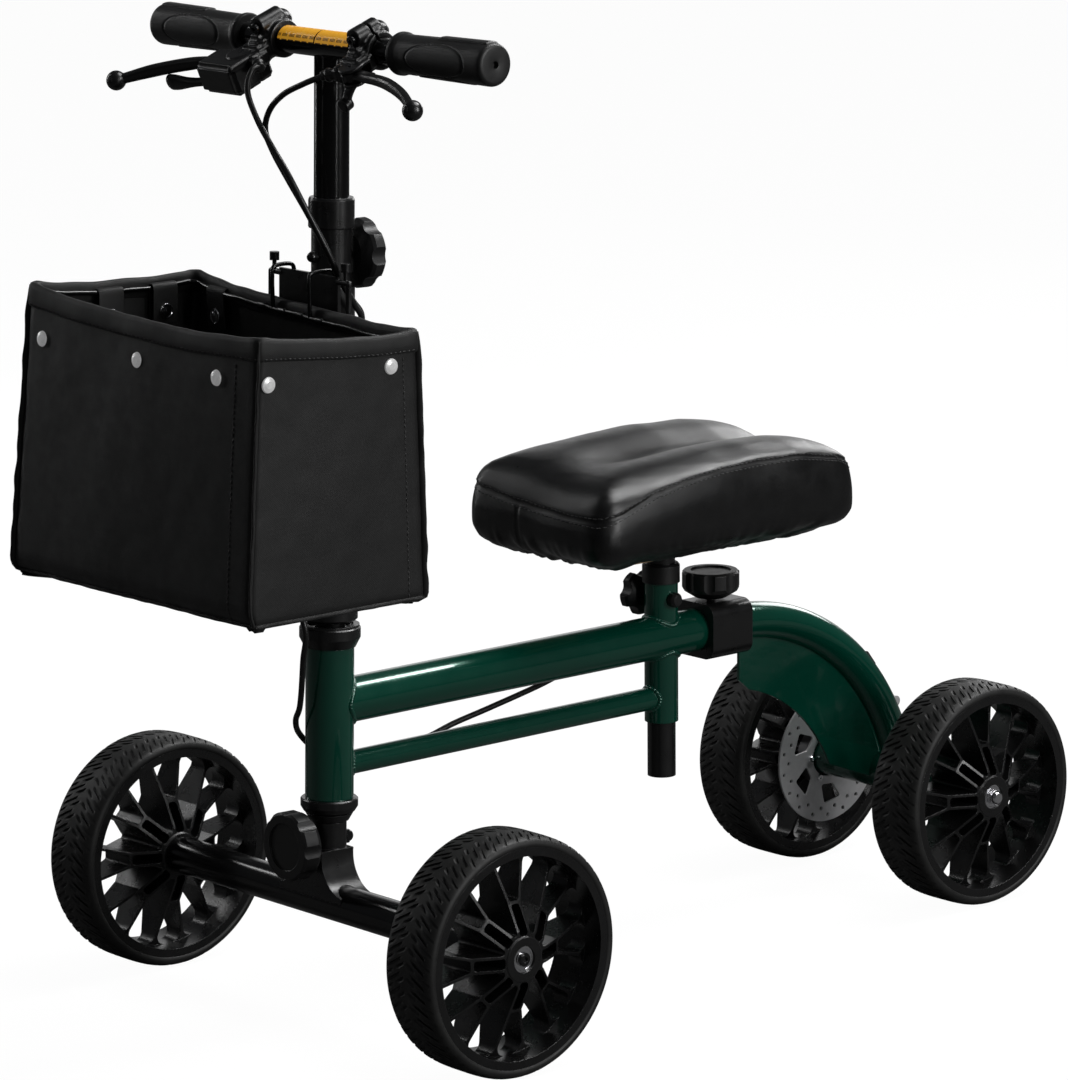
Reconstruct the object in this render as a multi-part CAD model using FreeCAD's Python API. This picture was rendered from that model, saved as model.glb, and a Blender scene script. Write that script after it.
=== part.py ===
import FreeCAD, Part
import math
import os

# Knee scooter: a four-wheeled walker that is pushed with one foot while the other leg kneels on a pad.
# Millimetres. +Z is up, -Y is forward and +X is the rider's left.
# The origin is on the ground, in the middle of the scooter's length and width.

# ---- driving dimensions ----
WHEEL_R = 100.0           # 8 inch wheels
WHEELBASE = 652.0
FRONT_TRACK = 449.0       # between the middle planes of the two front wheels
REAR_TRACK = 224.0
RAKE_DEG = 1.4            # the steering axis leans back by this much
BASKET_REACH = 198.0      # the basket's lowest front edge is this far ahead of the front axle
BAR_HEIGHT = 812.0        # handlebar centre, at its lowest setting
BAR_HALF = 205.0
MAIN_TUBE_Z = 265.0
LOWER_TUBE_Z = 211.3
BAR_TRAVEL = 150.0        # the stem rises by this much
SEAT_TRAVEL = 100.0
REAR_TRAVEL = 30.0        # the rear frame telescopes out by this much
HOLE_PITCH = 25.0         # between two height settings
GAP = 0.1                 # radial gap of sliding tubes
RUN = 0.05                # radial gap of turning parts

LENGTH = BASKET_REACH + WHEELBASE + WHEEL_R
FRONT_AXLE_Y = BASKET_REACH - LENGTH / 2
REAR_AXLE_Y = FRONT_AXLE_Y + WHEELBASE
COLUMN_TRAIL = 5.0        # the steering axis passes this far behind the front axle
COLUMN_Y = FRONT_AXLE_Y + COLUMN_TRAIL

# ---- wheel ----
HUB_HALF = 29.5           # half the hub's length
HUB_R = 18.0
BARREL_R = 84.0           # inside of the rim's barrel
TYRE_SEAT_R = 88.5
FLANGE_R = 91.0
FLANGE_HALF = 27.0        # half the rim's width
TYRE_HALF = 28.0
TREAD_HALF = 20.0         # half the width of the flat of the tread
WALL_PAIRS = 8
WALL_T = 2.4
PAIR_HALF_GAP = 5.5       # from a pair's middle line to each wall
BOX_END_R = 45.0          # where a pair of walls parts
CORNER_R = 2.5
ARCH_END_R = 9.0          # the windows end in round corners at the barrel
ARCH_FROM_R = 64.0
HUB_FACE_HALF = 28.5      # half depth of the walls at the hub
BOX_FACE_HALF = 17.5      # where a pair of walls parts
RIM_FACE_HALF = 8.0       # at the barrel
WEB_HALF = 2.0            # half the thickness of the wall that closes a pair's box
BEARING_R = 11.0          # 608 ball bearing: 22 x 8 x 7
BEARING_BORE_R = 4.0
BEARING_W = 7.0
BEARING_FACE = 28.0       # outer bearing face, from the wheel's middle plane

# ---- round stock, radii ----
AXLE_TUBE_R, AXLE_TUBE_IN = 15.9, 13.4
REAR_AXLE_R, REAR_AXLE_IN = 17.0, 14.5
REAR_AXLE_HALF = 79.0
HEAD_R, HEAD_IN = 20.2, 17.0
MAIN_R, MAIN_IN = 19.05, 16.0
ARCH_R, ARCH_IN = 15.95, 13.9
LOWER_R, LOWER_IN = 10.0, 8.2
SEAT_TUBE_R, SEAT_TUBE_IN = 14.75, 12.5
POST_R, POST_IN = 12.4, 10.4
STEERER_R, STEERER_IN = 12.7, 10.0
SOCKET_R = 14.5
SLEEVE_R, SLEEVE_IN = 16.5, 14.65
STEM_R, STEM_IN = 14.55, 12.2
BAR_R, BAR_IN = 11.1, 9.3
BOLT_R = 3.0
SCREW_R = 4.0

# ---- heights along the column, from the axle's height ----
STEERER_FOOT, STEERER_TOP = 25.0, 262.0
SOCKET_TOP = 66.0
YOKE_BOLT_H = 50.0
HEAD_FOOT, HEAD_TOP = 86.0, 214.0
COLLAR_FOOT, COLLAR_TOP = 236.0, 290.0
SLEEVE_TOP = 580.0
GUIDE_FOOT, GUIDE_TOP = 562.0, 587.0
STEM_BOLT_H = 539.0
STEM_FOOT = 330.0
BAR_H = BAR_HEIGHT - WHEEL_R
BAR_LEAD = 8.0            # the bar's centre is this far ahead of the steering axis

# ---- frame ----
SEAT_Y = 104.0            # seat tube axis
SEAT_TUBE_FOOT, SEAT_TUBE_TOP = 190.0, 314.0
SEAT_CAP_TOP = 331.0
SEAT_BOLT_Z = 300.0
POST_FOOT, POST_TOP = 141.0, 346.0
MAIN_END_Y = 178.0
CLAMP_Y0, CLAMP_Y1 = 143.0, 190.0
CLAMP_KNOB_Y = 163.0
ARCH_INNER_Y = 125.0      # the arch tube's front end, inside the main tube
ARCH_BEND_R = 208.0
ARCH_BEND_Y = 190.5
ARCH_SWEEP_DEG = 77.0
GUSSET_T = 3.0

# ---- brake ----
ROTOR_R = 61.5
ROTOR_T = 2.0
ROTOR_X = -71.0           # middle of the disc
ROTOR_SCREW_PCR = 22.0

# ---- pad and basket ----
PAD_HALF_W = 85.0
PAD_FRONT_Y, PAD_REAR_Y = -37.0, 252.0
PAD_FOOT = 356.0
BOARD_HALF_W = 60.0
BOARD_INSET = 32.0         # from the pad's ends to the board's
PLATE_T = 4.0
BASKET_TOP, BASKET_FOOT = 610.0, 380.0
BASKET_TOP_CORNERS = [(164.0, -465.0), (164.0, -302.0), (-160.0, -284.0), (-163.0, -447.0)]
BASKET_FOOT_CORNERS = [(158.0, -LENGTH / 2), (160.0, -293.0), (-156.0, -287.0), (-160.0, -LENGTH / 2)]
CLOTH_T = 3.0
FRAME_ROD_R = 2.0

ORIGIN = FreeCAD.Vector(0, 0, 0)
X_AXIS = FreeCAD.Vector(1, 0, 0)
Y_AXIS = FreeCAD.Vector(0, 1, 0)
Z_AXIS = FreeCAD.Vector(0, 0, 1)


# ---- shape helpers ----
def point(x, y, z):
    return FreeCAD.Vector(x, y, z)


def rod(radius, start, end):
    """A round bar between two points."""
    return Part.makeCylinder(radius, (end - start).Length, start, end - start)


def pipe(outer, inner, start, end):
    """A straight tube between two points."""
    return rod(outer, start, end).cut(rod(inner, start, end))


def block(low, high):
    """A box between two corners."""
    return Part.makeBox(high.x - low.x, high.y - low.y, high.z - low.z, low)


def turned(outline):
    """A solid of revolution about Z from (radius, height) points."""
    wire = Part.makePolygon([point(r, 0, h) for r, h in outline + outline[:1]])
    return Part.Face(wire).revolve(ORIGIN, Z_AXIS, 360)


def swept(path, radius):
    """A round bar along a smooth curve through the given points."""
    curve = Part.BSplineCurve()
    curve.interpolate(path)
    start = curve.tangent(curve.FirstParameter)[0]
    ring = Part.Wire(Part.Circle(path[0], start, radius).toShape())
    return Part.Wire(curve.toShape()).makePipeShell([ring], True, True)


def bent_rod(corners, radius):
    """A round bar that turns at each corner, with ball joints at the bends."""
    pieces = [rod(radius, a, b) for a, b in zip(corners, corners[1:])]
    balls = [Part.makeSphere(radius, c) for c in corners[1:-1]]
    return join(pieces + balls)


def join(shapes):
    """One solid from touching or overlapping shapes."""
    return shapes[0].multiFuse(shapes[1:]).removeSplitter()


def cut_all(shape, tools):
    for tool in tools:
        shape = shape.cut(tool)
    return shape


def mirrored(shape):
    """The same part on the rider's other side."""
    return shape.mirror(ORIGIN, X_AXIS)


def axis_to_x(shape):
    """Turns a part made along Z so that it runs along +X."""
    turned_shape = shape.copy()
    turned_shape.rotate(ORIGIN, Y_AXIS, 90)
    return turned_shape


def axis_to_y(shape):
    """Turns a part made along Z so that it runs along +Y."""
    turned_shape = shape.copy()
    turned_shape.rotate(ORIGIN, X_AXIS, -90)
    return turned_shape


def moved(shape, x, y, z):
    copy = shape.copy()
    copy.translate(point(x, y, z))
    return copy


def on_column(shape):
    """Places a part that was made with the steering axis as Z and the axle's height as 0."""
    copy = shape.copy()
    copy.rotate(ORIGIN, X_AXIS, -RAKE_DEG)
    copy.translate(point(0, COLUMN_Y, WHEEL_R))
    return copy


def group(shapes):
    """Separate solids that share a node."""
    return Part.makeCompound(shapes)


PARTS = {}


def part(name, shape):
    PARTS[name] = shape


# ---- knobs and fasteners ----
def lobed_knob(radius, thickness, lobes, scallop_r, scallop_depth, dish_r, stud_r, stud_length):
    """A moulded hand knob. Its stud starts at z = 0 and runs down, its grip stands on z = 0."""
    edge = 2.0
    grip = turned([(0, 0), (radius * 0.55, 0), (radius - edge, thickness * 0.25), (radius, thickness * 0.4),
                   (radius, thickness - edge), (radius - edge, thickness), (0, thickness)])
    reach = radius + scallop_r - scallop_depth
    for k in range(lobes):
        angle = 2 * math.pi * k / lobes
        notch_foot = point(reach * math.cos(angle), reach * math.sin(angle), -thickness / 2)
        notch = Part.makeCylinder(scallop_r, thickness * 2, notch_foot)
        grip = grip.cut(notch)
    dish = Part.makeCylinder(dish_r, 1.5, point(0, 0, thickness - 1.5))
    stud = rod(stud_r, point(0, 0, -stud_length), point(0, 0, 1))
    return join([grip.cut(dish), stud])


def hexagon(radius, height):
    """A six-sided face across Z, at a height."""
    corners = [math.radians(60 * k) for k in range(7)]
    return Part.Face(Part.makePolygon([point(radius * math.cos(a), radius * math.sin(a), height)
                                       for a in corners]))


def socket_screw(head_r, head_h, shank_r, shank_length):
    """A socket head screw along Z: its head stands on z = 0 and its shank runs down."""
    socket = hexagon(head_r * 0.5, head_h * 0.3).extrude(point(0, 0, head_h))
    head = turned([(0, 0), (head_r, 0), (head_r, head_h * 0.75), (head_r * 0.85, head_h), (0, head_h)])
    return join([head.cut(socket), rod(shank_r, point(0, 0, -shank_length), point(0, 0, 1))])


def domed_nut(radius, height, bore_r, bore_depth):
    """A cap nut that stands on z = 0."""
    body = hexagon(radius, 0).extrude(point(0, 0, height * 0.5))
    dome = Part.makeSphere(radius * 0.85, point(0, 0, height * 0.5 - 0.2), Z_AXIS, 0, 90, 360)
    dome = dome.common(Part.makeCylinder(radius, height * 0.5, point(0, 0, height * 0.5 - 0.2)))
    return join([body, dome]).cut(rod(bore_r, point(0, 0, -1), point(0, 0, bore_depth)))


# ---- wheels ----
def wheel_cell(outline, inner_side_of_barrel, corner_r=CORNER_R):
    """A window between wall centre lines, shrunk by half a wall and rounded in its corners."""
    edges = [Part.makeLine(a, b) for a, b in zip(outline, outline[1:])]
    if inner_side_of_barrel:
        middle = (outline[0] + outline[-1])
        middle = middle / middle.Length * outline[0].Length
        edges.append(Part.Arc(outline[-1], middle, outline[0]).toShape())
    else:
        edges.append(Part.makeLine(outline[-1], outline[0]))
    face = Part.Face(Part.Wire(edges))
    shrunk = face.makeOffset2D(-(WALL_T / 2 + corner_r))
    return shrunk.makeOffset2D(corner_r)


def through(face, low, high):
    """A window face as a prism between two heights."""
    copy = face.copy()
    copy.translate(point(0, 0, low))
    return copy.extrude(point(0, 0, high - low))


def wheel_rim():
    """The moulded wheel body, about Z: a hub, eight pairs of deep thin walls, and a barrel for the tyre."""
    half_step = math.pi / WALL_PAIRS / 2
    centre_line_r = BARREL_R + WALL_T / 2
    half = [(TYRE_SEAT_R, FLANGE_HALF - 5), (FLANGE_R, FLANGE_HALF - 3), (FLANGE_R, FLANGE_HALF),
            (BARREL_R, FLANGE_HALF), (BARREL_R, RIM_FACE_HALF), (BOX_END_R, BOX_FACE_HALF),
            (HUB_R + 6, HUB_FACE_HALF), (HUB_R + 1, HUB_FACE_HALF), (HUB_R, HUB_HALF), (0, HUB_HALF)]
    body = turned([(r, -h) for r, h in reversed(half)] + half)

    def polar(radius, angle):
        return point(radius * math.cos(angle), radius * math.sin(angle), 0)

    # beyond the box of a pair
    flare = [polar(centre_line_r, -half_step), point(BOX_END_R, -PAIR_HALF_GAP, 0),
             point(BOX_END_R, PAIR_HALF_GAP, 0), polar(centre_line_r, half_step)]
    # between two pairs
    hub_angle = math.asin(PAIR_HALF_GAP / HUB_R)
    box_angle = math.atan2(PAIR_HALF_GAP, BOX_END_R)
    box_r = math.hypot(PAIR_HALF_GAP, BOX_END_R)
    full_step = 4 * half_step
    gap = [polar(centre_line_r, half_step), polar(box_r, box_angle), polar(HUB_R, hub_angle),
           polar(HUB_R, full_step - hub_angle), polar(box_r, full_step - box_angle),
           polar(centre_line_r, full_step - half_step)]
    # the box of a pair, closed in its middle
    box = wheel_cell([point(HUB_R, -PAIR_HALF_GAP, 0), point(BOX_END_R, -PAIR_HALF_GAP, 0),
                      point(BOX_END_R, PAIR_HALF_GAP, 0), point(HUB_R, PAIR_HALF_GAP, 0)], False)
    inside_arches = Part.makeCylinder(ARCH_FROM_R, 2 * HUB_HALF, point(0, 0, -HUB_HALF))
    windows = [through(box, WEB_HALF, HUB_HALF), through(box, -HUB_HALF, -WEB_HALF)]
    for outline in (flare, gap):
        windows.append(through(wheel_cell(outline, True), -HUB_HALF, HUB_HALF).common(inside_arches))
        windows.append(through(wheel_cell(outline, True, ARCH_END_R), -HUB_HALF, HUB_HALF))
    tools = []
    for k in range(WALL_PAIRS):
        for window in windows:
            tool = window.copy()
            tool.rotate(ORIGIN, Z_AXIS, k * 360 / WALL_PAIRS)
            tools.append(tool)
    hub = Part.makeCylinder(HUB_R, 2 * HUB_HALF, point(0, 0, -HUB_HALF))
    body = body.cut(tools).fuse(hub).removeSplitter()
    seat_depth = HUB_HALF - BEARING_FACE + BEARING_W
    bores = [Part.makeCylinder(BEARING_R - 1.5, 2 * HUB_HALF, point(0, 0, -HUB_HALF)),
             Part.makeCylinder(BEARING_R + RUN, seat_depth, point(0, 0, HUB_HALF - seat_depth)),
             Part.makeCylinder(BEARING_R + RUN, seat_depth, point(0, 0, -HUB_HALF))]
    return cut_all(body, bores)


def tyre():
    """The solid tyre about Z, with a flat tread and rounded shoulders."""
    shoulder = 3.0
    side_r = WHEEL_R - 4.5
    outline = [(TYRE_SEAT_R, FLANGE_HALF - 5), (FLANGE_R, FLANGE_HALF - 3), (FLANGE_R, FLANGE_HALF),
               (FLANGE_R + 1, TYRE_HALF), (side_r, TYRE_HALF), (WHEEL_R - 1.5, TREAD_HALF + shoulder),
               (WHEEL_R, TREAD_HALF - 6)]
    return turned(outline + [(r, -h) for r, h in reversed(outline)])


def bearing_pair():
    """The two ball bearings of a wheel, about Z, each as one ring."""
    low = BEARING_FACE - BEARING_W
    shield = BEARING_FACE - 0.5
    ring = turned([(BEARING_BORE_R, low), (BEARING_R, low), (BEARING_R, BEARING_FACE), (9, BEARING_FACE),
                   (9, shield), (6, shield), (6, BEARING_FACE), (BEARING_BORE_R, BEARING_FACE)])
    return [ring, ring.mirror(ORIGIN, Z_AXIS)]


def make_wheels():
    rim, rubber = wheel_rim(), tyre()
    places = {"front_left": (FRONT_TRACK / 2, FRONT_AXLE_Y), "front_right": (-FRONT_TRACK / 2, FRONT_AXLE_Y),
              "rear_left": (REAR_TRACK / 2, REAR_AXLE_Y), "rear_right": (-REAR_TRACK / 2, REAR_AXLE_Y)}
    for name, (x, y) in places.items():
        part(name + "_rim", moved(axis_to_x(rim), x, y, WHEEL_R))
        part(name + "_tyre", moved(axis_to_x(rubber), x, y, WHEEL_R))
    for end, track, y in (("front", FRONT_TRACK, FRONT_AXLE_Y), ("rear", REAR_TRACK, REAR_AXLE_Y)):
        rings = [moved(axis_to_x(ring), side * track / 2, y, WHEEL_R)
                 for ring in bearing_pair() for side in (1, -1)]
        part(end + "_wheel_bearings", group(rings))


# ---- front axle and steering column ----
def axle_beam(outer, inner, half, bearing_face, y):
    """A cross tube with a threaded plug welded into each end; the plug's boss stands against the bearing."""
    plug_depth, boss_r = 34.0, 5.8
    hollow = rod(inner, point(-half + plug_depth, y, WHEEL_R), point(half - plug_depth, y, WHEEL_R))
    beam = join([rod(outer, point(-half, y, WHEEL_R), point(half, y, WHEEL_R)),
                 rod(boss_r, point(-bearing_face, y, WHEEL_R), point(bearing_face, y, WHEEL_R))])
    thread = rod(SCREW_R, point(-bearing_face, y, WHEEL_R), point(bearing_face, y, WHEEL_R))
    return cut_all(beam, [hollow, thread])


def front_axle():
    """The cross tube and the two wheel screws."""
    bearing_face = FRONT_TRACK / 2 - BEARING_FACE
    beam = axle_beam(AXLE_TUBE_R, AXLE_TUBE_IN, bearing_face - 3, bearing_face, FRONT_AXLE_Y)
    part("front_axle_tube", beam)
    screw = socket_screw(5.6, 2.5, SCREW_R - 0.05, 2 * BEARING_FACE + 28)
    screw = moved(axis_to_x(screw), FRONT_TRACK / 2 + BEARING_FACE, FRONT_AXLE_Y, WHEEL_R)
    part("front_wheel_screws", group([screw, mirrored(screw)]))


def bell_outline(inset):
    """The yoke's bell outline in the X-Z plane, drawn in by a wall's thickness."""
    neck, foot = SOCKET_R + 1 - inset, 40.0 - inset
    top, lip, bottom = 44.0 - inset, 9.0, 0.0
    right = [point(neck, 0, top), point(foot, 0, lip)]
    left = [point(-foot, 0, lip), point(-neck, 0, top)]
    bend_right = point(neck + 5.5, 0, (top + lip) / 2 - 5)
    bend_left = point(-neck - 5.5, 0, (top + lip) / 2 - 5)
    edges = [Part.Arc(right[0], bend_right, right[1]).toShape(),
             Part.makeLine(right[1], point(foot, 0, bottom)),
             Part.makeLine(point(foot, 0, bottom), point(-foot, 0, bottom)),
             Part.makeLine(point(-foot, 0, bottom), left[0]),
             Part.Arc(left[0], bend_left, left[1]).toShape(),
             Part.makeLine(left[1], right[0])]
    return Part.Face(Part.Wire(edges))


def yoke():
    """The bell-shaped bracket that is welded over the axle tube and holds the steerer in its socket."""
    front, back, wall = -SOCKET_R - 6.0, SOCKET_R - 1.0, 2.5
    shell = bell_outline(0).copy()
    shell.translate(point(0, front, 0))
    shell = shell.extrude(point(0, back - front, 0))
    hollow = bell_outline(wall).copy()
    hollow.translate(point(0, front + wall, 0))
    hollow = hollow.extrude(point(0, back - front - 2 * wall, 0))
    socket = rod(SOCKET_R, point(0, 0, 12), point(0, 0, SOCKET_TOP))
    body = join([shell.cut(hollow), socket])
    axle = rod(AXLE_TUBE_R, point(-60, -COLUMN_TRAIL, 0), point(60, -COLUMN_TRAIL, 0))
    bore = rod(STEERER_R, point(0, 0, STEERER_FOOT), point(0, 0, SOCKET_TOP + 1))
    bolt_hole = rod(SCREW_R + GAP, point(0, -40, YOKE_BOLT_H), point(0, 40, YOKE_BOLT_H))
    below_axle = block(point(-60, -60, -30), point(60, 60, 2))
    return cut_all(body, [axle, bore, bolt_hole, below_axle])


def steering_column():
    part("front_yoke", on_column(yoke()))
    bolt_hole = rod(SCREW_R + GAP, point(0, -40, YOKE_BOLT_H), point(0, 40, YOKE_BOLT_H))
    steerer = pipe(STEERER_R, STEERER_IN, point(0, 0, STEERER_FOOT), point(0, 0, STEERER_TOP)).cut(bolt_hole)
    race = turned([(STEERER_R - 1, 67), (16.5, 67), (20, 73.3), (STEERER_R - 1, 73.3)])
    part("steerer_tube", on_column(join([steerer, race])))
    knob_face = 24.0
    knob = lobed_knob(29.0, 24.0, 8, 9.0, 2.2, 20.0, SCREW_R, knob_face + SOCKET_R + 4)
    knob.rotate(ORIGIN, X_AXIS, 90)
    part("front_knob", on_column(moved(knob, 0, -knob_face, YOKE_BOLT_H)))
    yoke_nut = moved(axis_to_y(domed_nut(6.5, 9.0, SCREW_R + RUN, 5.5)), 0, SOCKET_R, YOKE_BOLT_H)
    stem_nut = domed_nut(5.0, 8.0, BOLT_R + RUN, 4.5)
    stem_nut.rotate(ORIGIN, X_AXIS, 90)
    part("column_nuts", on_column(group([yoke_nut, moved(stem_nut, 0, -SLEEVE_R, STEM_BOLT_H)])))


def headset():
    """The cups, bearings and head tube that the steerer turns in."""
    skirt = 10.0
    tube = pipe(HEAD_R, HEAD_IN, point(0, 0, HEAD_FOOT), point(0, 0, HEAD_TOP))
    part("head_tube", on_column(tube))
    foot, top = HEAD_FOOT, HEAD_TOP
    lower = turned([(15, foot + skirt), (HEAD_IN, foot + skirt), (HEAD_IN, foot), (23, foot), (24, foot - 1),
                    (24, foot - 7), (21.5, foot - 11), (19.5, foot - 12), (19.5, foot - 6), (15, foot - 6)])
    upper = turned([(15, top - skirt), (HEAD_IN, top - skirt), (HEAD_IN, top), (21.5, top), (24.5, top + 6),
                    (25.5, top + 8), (25.5, top + 16), (24.5, top + 17), (24.5, top + 19), (19.5, top + 19),
                    (19.5, top + 10), (15, top + 10)])
    part("headset_cups", on_column(group([lower, upper])))
    rings = [pipe(19.5, STEERER_R + RUN, point(0, 0, low), point(0, 0, low + 6)) for low in
             (HEAD_FOOT - 12, HEAD_TOP + 10)]
    part("headset_bearings", on_column(group(rings)))


def column_sleeve():
    """The outer tube of the column with its foot collar, the stem's guide collar and the height knob."""
    collar = turned([(STEERER_R, COLLAR_FOOT), (21, COLLAR_FOOT), (23, COLLAR_FOOT + 2),
                     (23, COLLAR_TOP - 3), (20, COLLAR_TOP), (SLEEVE_R, COLLAR_TOP), (SLEEVE_R, STEERER_TOP),
                     (STEERER_R, STEERER_TOP)])
    hole = rod(BOLT_R + GAP, point(0, -40, STEM_BOLT_H), point(0, 40, STEM_BOLT_H))
    tube = pipe(SLEEVE_R, SLEEVE_IN, point(0, 0, STEERER_TOP), point(0, 0, SLEEVE_TOP)).cut(hole)
    part("column_sleeve", on_column(join([tube, collar])))
    guide = turned([(SLEEVE_R, GUIDE_FOOT), (18.5, GUIDE_FOOT), (19, GUIDE_FOOT + 1), (19, GUIDE_TOP - 2),
                    (18, GUIDE_TOP), (SLEEVE_IN, GUIDE_TOP), (SLEEVE_IN, SLEEVE_TOP), (SLEEVE_R, SLEEVE_TOP)])
    part("stem_guide_collar", on_column(guide))
    knob_face = 18.5
    knob = lobed_knob(29.0, 17.5, 7, 12.0, 3.5, 15.0, BOLT_R, knob_face + SLEEVE_R + 4)
    knob.rotate(ORIGIN, X_AXIS, -90)
    part("stem_knob", on_column(moved(knob, 0, knob_face, STEM_BOLT_H)))


def keyed_slot(top, travel, bolt_r, long_axis_end):
    """A row of height holes, joined by a slot so that the bolt can pass from one to the next."""
    reach = 40.0
    cutters = []
    steps = int(round(travel / HOLE_PITCH))
    for k in range(steps + 1):
        height = top - k * travel / steps
        cutters.append(rod(bolt_r + 1.2, long_axis_end * -reach + Z_AXIS * height,
                           long_axis_end * reach + Z_AXIS * height))
    wide = bolt_r + 0.4
    if long_axis_end == Y_AXIS:
        cutters.append(block(point(-wide, -reach, top - travel), point(wide, reach, top)))
    else:
        cutters.append(block(point(-reach, -wide, top - travel), point(reach, wide, top)))
    return join(cutters)


# ---- handlebar ----
def on_bar(shape, pitch_deg=0.0):
    """Places a part made with the bar's axis through the origin, tipped forward about the bar."""
    copy = shape.copy()
    copy.rotate(ORIGIN, X_AXIS, pitch_deg)
    copy.translate(point(0, -BAR_LEAD, BAR_H))
    return on_column(copy)


def grip():
    """A rubber grip about Z, with a flange at its inner end and a closed outer end."""
    inner, outer = 97.0, BAR_HALF + 7
    shape = turned([(BAR_R, inner), (17.8, inner), (17.8, inner + 5), (16.2, inner + 8),
                    (16.8, inner + 40), (17.2, outer - 4), (16.2, outer - 1), (14, outer), (2, outer),
                    (2, outer - 3), (0, outer - 3), (0, BAR_HALF), (BAR_R, BAR_HALF)])
    return axis_to_x(shape)


LEVER_PIVOT = point(70.0, -32.0, -5.0)     # from the bar's centre, before tipping
LEVER_REACH = point(112.0, -46.0, -1.0)    # from the pivot to the ball
LEVER_PITCH = 24.0                         # the levers' plane, below level
LEVER_REST = 4.0                           # the left lever sits this far in, the right one this far out
LOCK_PIVOT = point(78.0, -36.0, -18.0)
LOCK_END = point(136.0, -62.0, -16.0)


def lever_bracket():
    """The clamp band on the bar, its screw boss, its arm, and the two cheeks that hold the lever."""
    band = pipe(16.0, BAR_R, point(50, 0, 0), point(74, 0, 0))
    boss = rod(7.5, point(62, -15, 17), point(62, 9, 17))
    arm = block(point(52, -24, -11), point(76, -9, 4))
    lower, upper = -7.5, 4.5
    cheeks = [rod(9.5, LEVER_PIVOT + point(0, 0, low), LEVER_PIVOT + point(0, 0, low + 3))
              for low in (lower, upper)]
    plates = [block(point(56, -32, -5 + low), point(79.5, -18, -2 + low)) for low in (lower, upper)]
    nose = join([rod(4.5, point(40, -40, -5), point(58, -30, -5)),
                 block(point(50, -38, -10), point(60, -20, 0))])
    slot = rod(13.5, LEVER_PIVOT + point(0, 0, -4.5), LEVER_PIVOT + point(0, 0, 4.5))
    body = join([band, boss, arm, nose] + cheeks + plates)
    bar_hole = rod(BAR_R, point(40, 0, 0), point(90, 0, 0))
    pin_hole = rod(2.0, LEVER_PIVOT + point(0, 0, -9), LEVER_PIVOT + point(0, 0, 9))
    screw_hole = rod(2.5, point(62, -30, 17), point(62, 7, 17))
    cable_hole = rod(2.6, point(36, -42.2, -5), point(66, -25.6, -5))
    return cut_all(body, [slot, bar_hole, pin_hole, screw_hole, cable_hole])


def lock_bracket():
    """The box round the right lever's root that also holds the parking lever."""
    shell = block(point(56, -58, -26), point(106, -26, 2))
    lever_room = block(point(61, -70, -9.6), point(120, -17, -0.4))
    lock_room = block(point(70, -70, -22), point(120, -27, -14))
    pin_hole = rod(2.0, LOCK_PIVOT + point(0, 0, -15), LOCK_PIVOT + point(0, 0, 9))
    lever_pin_hole = rod(2.0, LEVER_PIVOT + point(0, 0, -9), LEVER_PIVOT + point(0, 0, 9))
    return cut_all(shell, [lever_room, lock_room, pin_hole, lever_pin_hole])


def lever_blade(rest_turn):
    """A cast lever: an eye on its pin, a blade that runs out and then hooks forward, and a ball."""
    eye = rod(8.0, LEVER_PIVOT + point(0, 0, -4.2), LEVER_PIVOT + point(0, 0, 4.2))
    ball_spot = LEVER_PIVOT + LEVER_REACH
    path = [LEVER_PIVOT, LEVER_PIVOT + point(22, -4, 0.2), LEVER_PIVOT + point(50, -11, 0.2),
            LEVER_PIVOT + point(82, -26, 0), ball_spot]
    blade = swept(path, 4.1)
    ball = Part.makeSphere(8.0, ball_spot)
    pin_hole = rod(2.05, LEVER_PIVOT + point(0, 0, -9), LEVER_PIVOT + point(0, 0, 9))
    shape = join([eye, blade, ball]).cut(pin_hole)
    shape.rotate(LEVER_PIVOT, Z_AXIS, rest_turn)
    return shape


def lock_lever():
    """The short parking lever."""
    eye = rod(7.0, LOCK_PIVOT + point(0, 0, -3.2), LOCK_PIVOT + point(0, 0, 3.2))
    blade = swept([LOCK_PIVOT, LOCK_PIVOT + point(24, -14, -0.6), LOCK_END], 2.6)
    paddle = Part.makeSphere(7.0, LOCK_END)
    pin_hole = rod(2.05, LOCK_PIVOT + point(0, 0, -9), LOCK_PIVOT + point(0, 0, 9))
    return join([eye, blade, paddle]).cut(pin_hole)


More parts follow.
